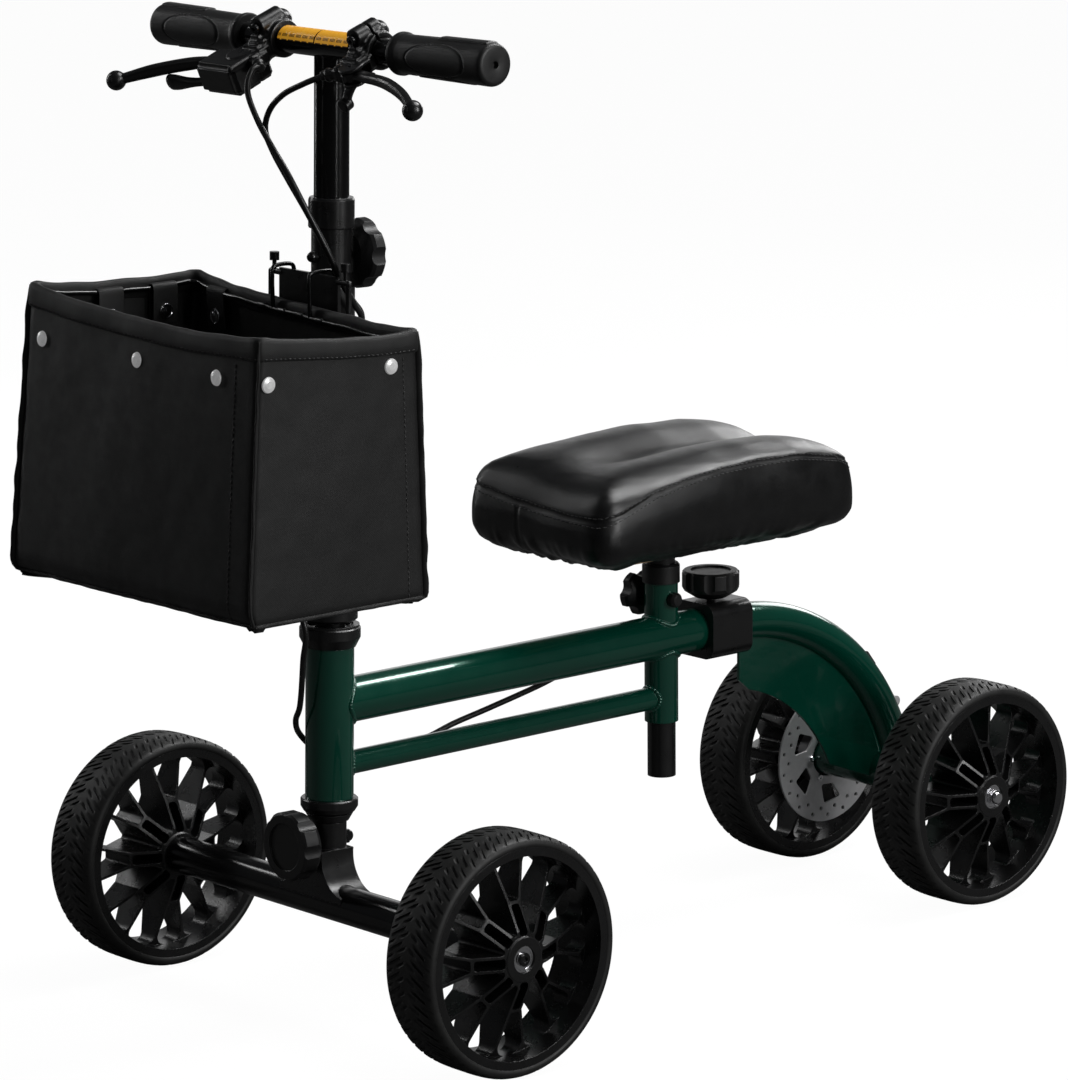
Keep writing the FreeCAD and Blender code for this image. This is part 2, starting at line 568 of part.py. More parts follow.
def handlebar():
    """The stem, the bar welded on it, its grips and the brake levers."""
    bar_room = rod(BAR_R, point(-40, -BAR_LEAD, BAR_H), point(40, -BAR_LEAD, BAR_H))
    stem = pipe(STEM_R, STEM_IN, point(0, 0, STEM_FOOT), point(0, 0, BAR_H + 4)).cut(bar_room)
    top_trim = block(point(-30, -30, BAR_H), point(30, 30, BAR_H + 30))
    stem = stem.cut(top_trim).cut(keyed_slot(STEM_BOLT_H, BAR_TRAVEL, BOLT_R, Y_AXIS))
    part("stem_tube", on_column(stem))
    part("handlebar", on_bar(pipe(BAR_R, BAR_IN, point(-BAR_HALF, 0, 0), point(BAR_HALF, 0, 0))))
    part("grips", on_bar(group([grip(), mirrored(grip())])))
    right_bracket = mirrored(join([lever_bracket(), lock_bracket()]))
    part("lever_brackets", group([on_bar(lever_bracket(), LEVER_PITCH), on_bar(right_bracket, LEVER_PITCH)]))
    part("left_lever", on_bar(lever_blade(LEVER_REST), LEVER_PITCH))
    part("right_lever", on_bar(mirrored(lever_blade(-LEVER_REST)), LEVER_PITCH))
    part("lock_lever", on_bar(mirrored(lock_lever()), LEVER_PITCH))
    pin = rod(2.0, LEVER_PIVOT + point(0, 0, -8.5), LEVER_PIVOT + point(0, 0, 8.5))
    lock_pin = rod(2.0, LOCK_PIVOT + point(0, 0, -8), LOCK_PIVOT + point(0, 0, 5))
    screw = socket_screw(4.5, 4.0, 2.5, 20)
    screw.rotate(ORIGIN, X_AXIS, 90)
    screw.translate(point(62, -15, 17))
    pieces = [screw, mirrored(screw), pin, mirrored(pin), mirrored(lock_pin)]
    part("lever_screws", group([on_bar(piece, LEVER_PITCH) for piece in pieces]))


# ---- main frame ----
def column_zone(radius):
    """The space of the head tube, to cope the tubes that meet it."""
    return on_column(rod(radius, point(0, 0, HEAD_FOOT), point(0, 0, HEAD_TOP)))


def main_frame():
    """The two long tubes between the head tube and the seat tube, and the seat tube with its cap."""
    seat_space = rod(SEAT_TUBE_R, point(0, SEAT_Y, 100), point(0, SEAT_Y, 400))
    main = pipe(MAIN_R, MAIN_IN, point(0, COLUMN_Y, MAIN_TUBE_Z), point(0, MAIN_END_Y, MAIN_TUBE_Z))
    knob_spot = point(0, CLAMP_KNOB_Y, MAIN_TUBE_Z)
    set_screw = rod(SCREW_R + GAP, knob_spot, knob_spot + Z_AXIS * 40)
    part("main_tube", cut_all(main, [column_zone(HEAD_R), seat_space, set_screw]))
    lower = pipe(LOWER_R, LOWER_IN, point(0, COLUMN_Y, LOWER_TUBE_Z), point(0, SEAT_Y, LOWER_TUBE_Z))
    part("lower_tube", cut_all(lower, [column_zone(HEAD_R), seat_space]))
    bolt_hole = rod(BOLT_R + GAP, point(-40, SEAT_Y, SEAT_BOLT_Z), point(40, SEAT_Y, SEAT_BOLT_Z))
    seat = pipe(SEAT_TUBE_R, SEAT_TUBE_IN, point(0, SEAT_Y, SEAT_TUBE_FOOT), point(0, SEAT_Y, SEAT_TUBE_TOP))
    part("seat_tube", seat.cut(bolt_hole))
    cap = turned([(SEAT_TUBE_IN, SEAT_TUBE_TOP), (16.5, SEAT_TUBE_TOP), (16.5, SEAT_CAP_TOP - 2),
                  (15, SEAT_CAP_TOP), (SEAT_TUBE_IN, SEAT_CAP_TOP)])
    part("seat_tube_cap", moved(cap, 0, SEAT_Y, 0))
    knob_face = 20.0
    knob = lobed_knob(19.5, 14.0, 5, 9.0, 5.0, 7.0, BOLT_R, knob_face + SEAT_TUBE_R + 5)
    knob.rotate(ORIGIN, Y_AXIS, -90)
    end_cap = turned([(0, SEAT_TUBE_R + 0.3), (6.5, SEAT_TUBE_R + 0.3), (6.5, SEAT_TUBE_R + 5),
                      (4.5, SEAT_TUBE_R + 7.5), (0, SEAT_TUBE_R + 7.5)])
    bolt = join([moved(knob, -knob_face, 0, 0), axis_to_x(end_cap)])
    part("seat_knob", moved(bolt, 0, SEAT_Y, SEAT_BOLT_Z))


def rear_clamp():
    """The rounded block that grips the arch tube in the main tube's end, and its knob."""
    half_w, foot, top, corner = 25.0, MAIN_TUBE_Z - 24.5, MAIN_TUBE_Z + 24.5, 11.0
    body = block(point(-half_w, CLAMP_Y0, foot), point(half_w, CLAMP_Y1, top))
    long_edges = [e for e in body.Edges if abs(e.Length - (CLAMP_Y1 - CLAMP_Y0)) < 0.01]
    body = body.makeFillet(corner, long_edges)
    main_bore = rod(MAIN_R, point(0, CLAMP_Y0 - 1, MAIN_TUBE_Z), point(0, MAIN_END_Y, MAIN_TUBE_Z))
    arch_bore = rod(ARCH_R + RUN, point(0, CLAMP_Y0, MAIN_TUBE_Z), point(0, CLAMP_Y1 + 1, MAIN_TUBE_Z))
    screw_bore = rod(SCREW_R + GAP, point(0, CLAMP_KNOB_Y, MAIN_TUBE_Z), point(0, CLAMP_KNOB_Y, top + 1))
    part("rear_clamp_block", cut_all(body, [main_bore, arch_bore, screw_bore]))
    knob_foot = top + 2.5
    knob = lobed_knob(25.5, 24.0, 8, 8.0, 2.0, 18.0, SCREW_R, knob_foot - MAIN_TUBE_Z - ARCH_R - GAP)
    part("rear_clamp_knob", moved(knob, 0, CLAMP_KNOB_Y, knob_foot))


def arch_path():
    """The arch tube's centre line: straight inside the main tube, then a round bend down to the axle."""
    centre = point(0, ARCH_BEND_Y, MAIN_TUBE_Z - ARCH_BEND_R)

    def on_bend(degrees):
        angle = math.radians(degrees)
        return centre + point(0, ARCH_BEND_R * math.sin(angle), ARCH_BEND_R * math.cos(angle))

    start = point(0, ARCH_INNER_Y, MAIN_TUBE_Z)
    return Part.Wire([Part.makeLine(start, on_bend(0)),
                      Part.Arc(on_bend(0), on_bend(ARCH_SWEEP_DEG / 2), on_bend(ARCH_SWEEP_DEG)).toShape()])


def arch_solid(radius):
    ring = Part.Wire(Part.Circle(point(0, ARCH_INNER_Y, MAIN_TUBE_Z), Y_AXIS, radius).toShape())
    return arch_path().makePipeShell([ring], True, True)


def gusset():
    """The flat plate that fills the arch above the axle."""
    front = CLAMP_Y1 + 6
    corner = point(0, front, MAIN_TUBE_Z - ARCH_R + 2)
    outline = [corner, point(0, front, 211), point(0, front + 12, 201)]
    tip, foot = point(0, 308, 116), point(0, REAR_AXLE_Y - 5, 92)
    back = point(0, ARCH_BEND_Y + ARCH_BEND_R * 0.97, 105)
    over = point(0, ARCH_BEND_Y + ARCH_BEND_R * 0.70, MAIN_TUBE_Z - ARCH_BEND_R * 0.30)
    edges = [Part.makeLine(a, b) for a, b in zip(outline, outline[1:])]
    edges += [Part.Arc(outline[-1], point(0, 272, 166), tip).toShape(), Part.makeLine(tip, foot),
              Part.makeLine(foot, back), Part.Arc(back, over, corner).toShape()]
    plate = Part.Face(Part.Wire(edges)).extrude(point(GUSSET_T, 0, 0))
    return moved(plate, -GUSSET_T / 2, 0, 0)


def rear_frame():
    """The arch tube with its gusset, the rear axle tube, and the rod that carries both rear wheels."""
    axle_space = rod(REAR_AXLE_R, point(-REAR_AXLE_HALF, REAR_AXLE_Y, WHEEL_R),
                     point(REAR_AXLE_HALF, REAR_AXLE_Y, WHEEL_R))
    arch_space = arch_solid(ARCH_R)
    part("rear_arch_tube", cut_all(arch_space, [arch_solid(ARCH_IN), axle_space]))
    part("rear_gusset_plate", cut_all(gusset(), [arch_space, axle_space]))
    bearing_face = REAR_TRACK / 2 - BEARING_FACE
    beam = axle_beam(REAR_AXLE_R, REAR_AXLE_IN, REAR_AXLE_HALF, bearing_face, REAR_AXLE_Y)
    part("rear_axle_tube", join([beam, calliper_mount()]).cut(arch_solid(ARCH_IN)))
    nut_face = REAR_TRACK / 2 + BEARING_FACE
    nut = moved(axis_to_x(domed_nut(7.0, 8.0, SCREW_R - 1, 0)), nut_face, REAR_AXLE_Y, WHEEL_R)
    shaft_end = point(nut_face + 1, REAR_AXLE_Y, WHEEL_R)
    shaft = rod(SCREW_R - RUN, shaft_end - X_AXIS * 2 * shaft_end.x, shaft_end)
    part("rear_axle_rod", join([shaft, nut, mirrored(nut)]))
    lens = block(point(-9, 0, -12), point(9, 12, 12))
    lens = lens.makeFillet(2.0, [e for e in lens.Edges if abs(e.Length - 12) < 0.01])
    lens_y = ARCH_BEND_Y + ARCH_BEND_R + ARCH_R - 9
    part("rear_reflector", moved(lens, 0, lens_y, 112).cut(arch_space))


def behind_arch(degrees, lift=6.5, x=-15.0):
    """A point on the back of the arch tube, at an angle above straight back and lifted off the tube."""
    angle = math.radians(degrees)
    radius = ARCH_BEND_R + ARCH_R + lift
    return point(x, ARCH_BEND_Y + radius * math.cos(angle),
                 MAIN_TUBE_Z - ARCH_BEND_R + radius * math.sin(angle))


# ---- disc brake ----
def brake_disc():
    """The drilled steel disc, about X."""
    disc = Part.makeCylinder(ROTOR_R, ROTOR_T, point(0, 0, -ROTOR_T / 2))
    tools = [Part.makeCylinder(19.0, 10, point(0, 0, -5))]
    holes, windows = 18, 6
    for k in range(holes):
        for radius, shift in ((56.0, 0.0), (49.5, 0.5)):
            angle = 2 * math.pi * (k + shift) / holes
            spot = point(radius * math.cos(angle), radius * math.sin(angle), -5)
            tools.append(Part.makeCylinder(1.9, 10, spot))
    for k in range(windows):
        window = window_prism()
        window.rotate(ORIGIN, Z_AXIS, k * 360 / windows)
        tools.append(window)
        angle = 2 * math.pi * (k + 0.5) / windows
        tools.append(Part.makeCylinder(1.6, 10, point(ROTOR_SCREW_PCR * math.cos(angle),
                                                      ROTOR_SCREW_PCR * math.sin(angle), -5)))
    return axis_to_x(disc.cut(Part.makeCompound(tools)))


def window_prism():
    """A leaning, rounded three-sided window of the brake disc."""
    corners = [(27.5, -18), (27.5, 12), (44, 22), (45, -6)]
    points = [point(r * math.cos(math.radians(a)), r * math.sin(math.radians(a)), 0) for r, a in corners]
    face = Part.Face(Part.makePolygon(points + points[:1]))
    rounded = face.makeOffset2D(-2.5).makeOffset2D(2.5)
    rounded.translate(point(0, 0, -5))
    return rounded.extrude(point(0, 0, 10))


def brake():
    """The disc on the right rear wheel, its carrier, and the calliper on the axle tube."""
    part("brake_rotor", moved(brake_disc(), ROTOR_X, REAR_AXLE_Y, WHEEL_R))
    hub_face = REAR_TRACK / 2 - HUB_HALF
    depth = hub_face + ROTOR_X - ROTOR_T / 2
    carrier = join([pipe(27.0, BEARING_R + 0.2, point(0, 0, 0), point(0, 0, 2.6)),
                    pipe(27.0, 19.0, point(0, 0, 0), point(0, 0, depth))])
    screws = []
    for k in range(6):
        angle = 2 * math.pi * (k + 0.5) / 6
        spot = point(ROTOR_SCREW_PCR * math.cos(angle), ROTOR_SCREW_PCR * math.sin(angle), 0)
        carrier = carrier.cut(rod(1.5, spot + point(0, 0, 3), spot + point(0, 0, 40)))
        screw = socket_screw(3.0, 2.2, 1.5, depth + ROTOR_T - 3.2)
        screws.append(moved(screw, spot.x, spot.y, depth + ROTOR_T))
    part("rotor_carrier", moved(axis_to_x(carrier), -hub_face, REAR_AXLE_Y, WHEEL_R))
    part("rotor_screws", moved(axis_to_x(group(screws)), -hub_face, REAR_AXLE_Y, WHEEL_R))
    calliper()


CALLIPER_AT_DEG = 40.0     # above straight back from the axle
CALLIPER_R = 53.0          # from the axle to the pads' centre
CABLE_END_DEG = 38.5       # above straight back from the arch's centre


def on_calliper(shape):
    """Places a part made with the pads' centre at the origin and the axle straight below it (-Z)."""
    copy = shape.copy()
    copy.rotate(ORIGIN, X_AXIS, -(90 - CALLIPER_AT_DEG))
    angle = math.radians(CALLIPER_AT_DEG)
    back, up = CALLIPER_R * math.cos(angle), CALLIPER_R * math.sin(angle)
    copy.translate(point(ROTOR_X, REAR_AXLE_Y + back, WHEEL_R + up))
    return copy


def calliper():
    body = block(point(-8, -15, -12), point(22, 15, 20))
    upright = [e for e in body.Edges if abs(e.Length - 32) < 0.01]
    body = body.makeFillet(5.0, upright)
    disc_slot = block(point(-3.5, -40, -30), point(3.5, 40, 12))
    pad_bore = rod(7.2, point(-20, 0, 0), point(12, 0, 0))
    pivot_bore = rod(3.5 + RUN, point(12, 0, 0), point(40, 0, 0))
    part("brake_calliper", on_calliper(cut_all(body, [disc_slot, pad_bore, pivot_bore])))
    inner = rod(7.0, point(1.6, 0, 0), point(6.5, 0, 0))
    outer = rod(7.0, point(-6.5, 0, 0), point(-1.6, 0, 0))
    part("brake_pads", on_calliper(group([inner, outer])))
    crank_x = 52.0
    tip = point(crank_x, -20.3, 8.4)
    arm = join([rod(3.5, point(12.5, 0, 0), point(crank_x + 2, 0, 0)),
                rod(6.0, point(crank_x - 2, 0, 0), point(crank_x + 2, 0, 0)),
                rod(1.8, point(crank_x, 0, 0), tip),
                rod(5.0, tip - X_AXIS * 3, tip + X_AXIS * 3)])
    part("brake_arm", on_calliper(arm))
    spring_top, spring_foot = behind_arch(CABLE_END_DEG - 3.2), behind_arch(CABLE_END_DEG - 9.5)
    part("brake_return_spring", coil(spring_top, spring_foot, 3.6, 0.5, 9))


def calliper_mount():
    """The tab on the rear axle tube that carries the calliper."""
    foot = 15.0 - CALLIPER_R
    return on_calliper(block(point(13, -11, foot), point(22, 11, -12)))


def coil(start, end, radius, wire_r, turns):
    """A helical wire between two points."""
    axis = end - start
    helix = Part.makeHelix(axis.Length / turns, axis.Length, radius)
    ring = Part.Wire(Part.Circle(point(radius, 0, 0), Y_AXIS, wire_r).toShape())
    wire = Part.Wire(helix).makePipeShell([ring], True, True)
    wire.Placement = FreeCAD.Placement(start, FreeCAD.Rotation(Z_AXIS, axis)).multiply(wire.Placement)
    return wire


# ---- seat ----
def pad_side_outline():
    """The pad's side view: level below, rising from its front edge to the lobes."""
    foot_front, foot_rear = point(0, PAD_FRONT_Y + 9, PAD_FOOT), point(0, PAD_REAR_Y - 9, PAD_FOOT)
    rear_top, front_top = point(0, PAD_REAR_Y, 412), point(0, PAD_FRONT_Y, 398)
    crest = Part.BSplineCurve()
    crest.interpolate([rear_top, point(0, 222, 431), point(0, 130, 440), point(0, 40, 435),
                       point(0, -12, 420), front_top])
    return Part.Wire([Part.makeLine(front_top, foot_front), Part.makeLine(foot_front, foot_rear),
                      Part.makeLine(foot_rear, rear_top), crest.toShape()])


def knee_pad():
    """The upholstered pad: two long lobes with a valley between them, hollow below for its board."""
    solid = Part.Face(pad_side_outline()).extrude(point(2 * PAD_HALF_W, 0, 0))
    solid = moved(solid, -PAD_HALF_W, 0, 0)
    corner = 24.0
    low, high = point(-PAD_HALF_W, PAD_FRONT_Y, PAD_FOOT - 1), point(PAD_HALF_W, PAD_REAR_Y, PAD_FOOT + 120)
    column = block(low, high)
    column = column.makeFillet(corner, [e for e in column.Edges if abs(e.Length - 121) < 0.01])
    valley = rod(110.0, point(0, PAD_FRONT_Y - 20, 532), point(0, PAD_REAR_Y + 20, 536))
    room_front, room_rear = PAD_FRONT_Y + BOARD_INSET - 0.5, PAD_REAR_Y - BOARD_INSET + 0.5
    board_room = block(point(-BOARD_HALF_W - 0.5, room_front, PAD_FOOT - 1),
                       point(BOARD_HALF_W + 0.5, room_rear, PAD_FOOT + 8.5))
    return cut_all(solid.common(column), [valley, board_room])


def seat():
    """The post, its top plate with four screws, the pad's board and the pad."""
    bolt_slot = keyed_slot(SEAT_BOLT_Z, SEAT_TRAVEL, BOLT_R, X_AXIS)
    post = pipe(POST_R, POST_IN, point(0, 0, POST_FOOT), point(0, 0, POST_TOP)).cut(bolt_slot)
    top = POST_TOP + PLATE_T
    plate = block(point(-45, SEAT_Y - 45, POST_TOP), point(45, SEAT_Y + 45, top))
    plate = plate.makeFillet(10.0, [e for e in plate.Edges if abs(e.Length - PLATE_T) < 0.01])
    board = block(point(-BOARD_HALF_W, PAD_FRONT_Y + BOARD_INSET, top),
                  point(BOARD_HALF_W, PAD_REAR_Y - BOARD_INSET, PAD_FOOT + 8))
    screws = []
    for x in (-34, 34):
        for y in (SEAT_Y - 34, SEAT_Y + 34):
            hole = rod(2.5, point(x, y, POST_TOP - 1), point(x, y, PAD_FOOT + 2))
            plate, board = plate.cut(hole), board.cut(hole)
            screw = socket_screw(4.5, 2.5, 2.5, PAD_FOOT + 2 - POST_TOP)
            screw.rotate(ORIGIN, X_AXIS, 180)
            screws.append(moved(screw, x, y, POST_TOP))
    part("seat_post", join([moved(post, 0, SEAT_Y, 0), plate]))
    part("pad_board", board)
    part("pad_screws", group(screws))
    part("knee_pad", knee_pad())


# ---- basket ----
def basket_corner(k, z):
    """Corner k of the bag's outside at a height, counted from its left front."""
    share = (z - BASKET_FOOT) / (BASKET_TOP - BASKET_FOOT)
    (x0, y0), (x1, y1) = BASKET_FOOT_CORNERS[k % 4], BASKET_TOP_CORNERS[k % 4]
    return point(x0 + (x1 - x0) * share, y0 + (y1 - y0) * share, z)


def basket_wire(z, inset=0.0):
    """The bag's outline at a height, drawn in by an inset."""
    signs = [(-1, 1), (-1, -1), (1, -1), (1, 1)]
    corners = [basket_corner(k, z) + point(sx * inset, sy * inset, 0) for k, (sx, sy) in enumerate(signs)]
    return Part.makePolygon(corners + corners[:1])


def basket_bag():
    """The open-topped fabric bag, shorter at its top and set a little askew, as cloth hangs."""
    outer = Part.makeLoft([basket_wire(BASKET_FOOT), basket_wire(BASKET_TOP)], True, True)
    upright = [e for e in outer.Edges if abs(e.BoundBox.ZLength - (BASKET_TOP - BASKET_FOOT)) < 1]
    outer = outer.makeFillet(8.0, upright)
    inner = Part.makeLoft([basket_wire(BASKET_FOOT + CLOTH_T, CLOTH_T), basket_wire(BASKET_TOP + 1, CLOTH_T)],
                          True, True)
    inner = inner.makeFillet(5.0, [e for e in inner.Edges if e.BoundBox.ZLength > 200])
    return outer.cut(inner)


BRACKET_Y = -24.0          # front face of the bracket's plate, on the column
BRACKET_FOOT, BRACKET_TOP = 488.0, 527.0
HOOK_X = 26.0


def basket_bracket():
    """The plate on the column that the basket's hooks hang on, with a wire loop at each end."""
    plate = block(point(-38, BRACKET_Y, BRACKET_FOOT), point(38, BRACKET_Y + 3, BRACKET_TOP))
    band = rod(SLEEVE_R + 3, point(0, 0, BRACKET_FOOT), point(0, 0, BRACKET_FOOT + 26))
    web = block(point(-9, BRACKET_Y + 1, BRACKET_FOOT), point(9, 0, BRACKET_FOOT + 26))
    y = BRACKET_Y + 1.5
    loop = bent_rod([point(36, y, BRACKET_TOP - 4), point(50, y, BRACKET_TOP - 4),
                     point(50, y, BRACKET_FOOT + 4), point(36, y, BRACKET_FOOT + 4)], 2.5)
    peg = rod(1.8, point(46, y, BRACKET_TOP - 4), point(46, y, BRACKET_TOP + 10))
    head = rod(4.0, point(46, y, BRACKET_TOP + 5), point(46, y, BRACKET_TOP + 12))
    side = join([loop, peg, head])
    body = join([plate, band, web, side, mirrored(side)])
    return body.cut(rod(SLEEVE_R, point(0, 0, BRACKET_FOOT - 1), point(0, 0, BRACKET_TOP)))


def basket_frame():
    """The wire hoop inside the bag's hem and the two hooks that hang it on the bracket."""
    z = BASKET_TOP - 8
    inset = 7.0
    corners = [basket_corner(k, z) + point(sx * inset, sy * inset, 0)
               for k, (sx, sy) in enumerate([(-1, 1), (-1, -1), (1, -1), (1, 1)])]
    bend_r = 8.0
    outline = Part.Face(Part.makePolygon(corners + corners[:1]))
    outline = outline.makeOffset2D(-bend_r).makeOffset2D(bend_r).OuterWire
    first = outline.OrderedEdges[0]
    start = outline.OrderedVertexes[0].Point
    ring = Part.Wire(Part.Circle(start, first.tangentAt(first.FirstParameter), FRAME_ROD_R).toShape())
    hoop = outline.makePipeShell([ring], True, True)
    bracket_back = COLUMN_Y + BRACKET_TOP * math.sin(math.radians(RAKE_DEG)) + BRACKET_Y + 3
    over = WHEEL_R + BRACKET_TOP + FRAME_ROD_R + 2
    hook_y = bracket_back + FRAME_ROD_R + 1
    left_rear, right_rear = corners[1], corners[2]
    hooks, hook_r = [], FRAME_ROD_R - 0.2
    for x in (-HOOK_X, HOOK_X):
        share = (left_rear.x - x) / (left_rear.x - right_rear.x)
        foot = left_rear + (right_rear - left_rear) * share
        tip = point(x, hook_y, over - 20)
        hooks.append(bent_rod([foot, point(x, foot.y, over), point(x, hook_y, over), tip], hook_r))
    return join([hoop] + hooks)


def stud_on_wall(k, reach):
    """A press stud on the wall that starts at corner k, a distance along it, below the hem."""

    def on_wall(z, share):
        start, end = basket_corner(k, z), basket_corner(k + 1, z)
        return start + (end - start) * share

    z = BASKET_TOP - 34
    share = reach / (basket_corner(k + 1, z) - basket_corner(k, z)).Length
    along = on_wall(z, 1) - on_wall(z, 0)
    upward = on_wall(BASKET_TOP, share) - on_wall(BASKET_FOOT, share)
    outward = along.cross(upward).normalize()
    stud = turned([(0, 0), (6.5, 0), (6.0, 1.2), (3.0, 2.0), (0, 2.0)])
    foot = on_wall(z, share) + outward * GAP
    stud.Placement = FreeCAD.Placement(foot, FreeCAD.Rotation(Z_AXIS, outward))
    return stud


def basket():
    """The bag, the wire frame inside its top hem, and the press studs that hold the cloth on the frame."""
    part("basket_bag", basket_bag())
    part("basket_bracket", on_column(basket_bracket()))
    part("basket_wire_frame", basket_frame())
    near_side = [stud_on_wall(0, reach) for reach in (11, 134)]
    far_side = [stud_on_wall(2, reach) for reach in (38, 148)]
    front = [stud_on_wall(3, reach) for reach in (27, 163, 272)]
    part("basket_studs", group(near_side + far_side + front))


# ---- brake cables ----
def cables():
    """The housings' stretches that stay with the handlebar, the main frame and the rear frame."""
    left = swept([point(38, -44, 690), point(4, -53, 678), point(-22, -52, 648), point(-12, -50, 622),
                  point(1, -48, 605)], 2.5)
    right = swept([point(-40, -47, 688), point(-33, -58, 672), point(-7, -60, 634), point(14, -57, 605)], 2.5)
    part("upper_brake_cables", on_column(group([left, right])))
    y0 = COLUMN_Y
    lower = swept([point(-14, y0 - 34, 300), point(-30, y0 - 18, 270), point(-31, y0 + 6, 245),
                   point(-24, y0 + 70, 238), point(-17, y0 + 200, 237), point(-19, y0 + 300, 237),
                   point(-24, SEAT_Y - 30, 240), point(-27, SEAT_Y + 20, 241)], 2.5)
    part("lower_brake_cable", lower)
    rear = swept([point(-34, CLAMP_Y1 + 14, 262), behind_arch(75, 4, -30), behind_arch(60, 8, -22),
                  behind_arch(48, 7), behind_arch(CABLE_END_DEG)], 2.5)
    ferrule = rod(4.5, behind_arch(CABLE_END_DEG + 1.5), behind_arch(CABLE_END_DEG - 2))
    clip = rod(2.5, behind_arch(CABLE_END_DEG, 1.5), behind_arch(CABLE_END_DEG))
    part("rear_brake_cable", join([rear, ferrule, clip]))


def main():
    make_wheels()
    front_axle()
    steering_column()
    headset()
    column_sleeve()
    handlebar()
    main_frame()
    rear_clamp()
    rear_frame()
    brake()
    seat()
    basket()
    cables()
    os.makedirs("parts", exist_ok=True)
    for name, shape in PARTS.items():
        shape.exportStep("parts/" + name + ".step")
    print(len(PARTS), "parts")


main()
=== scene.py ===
import bpy
import bmesh
import math
from mathutils import Matrix, Vector, noise
from mathutils.bvhtree import BVHTree


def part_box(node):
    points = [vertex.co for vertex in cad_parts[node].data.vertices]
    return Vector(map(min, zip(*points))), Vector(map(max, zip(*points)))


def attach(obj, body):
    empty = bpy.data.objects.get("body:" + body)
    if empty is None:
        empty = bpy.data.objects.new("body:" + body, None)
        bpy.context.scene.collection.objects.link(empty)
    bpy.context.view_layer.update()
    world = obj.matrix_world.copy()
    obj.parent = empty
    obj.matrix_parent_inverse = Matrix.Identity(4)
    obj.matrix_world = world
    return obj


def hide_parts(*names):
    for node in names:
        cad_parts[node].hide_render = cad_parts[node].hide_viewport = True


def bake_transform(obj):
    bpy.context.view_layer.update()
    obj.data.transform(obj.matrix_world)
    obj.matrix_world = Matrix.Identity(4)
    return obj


# Knee scooter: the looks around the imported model. Metres, +Z up, -Y forward, +X the rider's left.

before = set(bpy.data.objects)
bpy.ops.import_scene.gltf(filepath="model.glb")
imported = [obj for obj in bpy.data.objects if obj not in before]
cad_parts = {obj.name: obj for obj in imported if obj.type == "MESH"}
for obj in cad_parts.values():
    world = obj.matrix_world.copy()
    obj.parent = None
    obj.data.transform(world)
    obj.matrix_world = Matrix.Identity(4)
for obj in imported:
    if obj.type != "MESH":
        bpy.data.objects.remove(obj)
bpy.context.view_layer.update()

MM = 0.001
UP = Vector((0, 0, 1))
OUTWARD = Vector((1, 0, 0))
RAKE = math.radians(1.4)
AXLE_HEIGHT = 0.1
COLUMN_Y = -0.272


def column_point(x, y, h):
    """A point given by millimetres across, behind and up the steering axis, from the axle's height."""
    back = y * math.cos(RAKE) + h * math.sin(RAKE)
    up = -y * math.sin(RAKE) + h * math.cos(RAKE)
    return Vector((x * MM, COLUMN_Y + back * MM, AXLE_HEIGHT + up * MM))


def smooth_step(low, high, value):
    t = min(1.0, max(0.0, (value - low) / (high - low)))
    return t * t * (3 - 2 * t)


def mix(a, b, t):
    return a + (b - a) * t


def knotted(knots, value):
    """A value read off a list of (place, value) knots, with straight runs between them."""
    if value <= knots[0][0]:
        return knots[0][1]
    for (a, v_a), (b, v_b) in zip(knots, knots[1:]):
        if value <= b:
            return mix(v_a, v_b, (value - a) / (b - a))
    return knots[-1][1]


def mm(x, y, z):
    return Vector((x, y, z)) * MM


def at_mm(*spots):
    return [mm(*spot) for spot in spots]


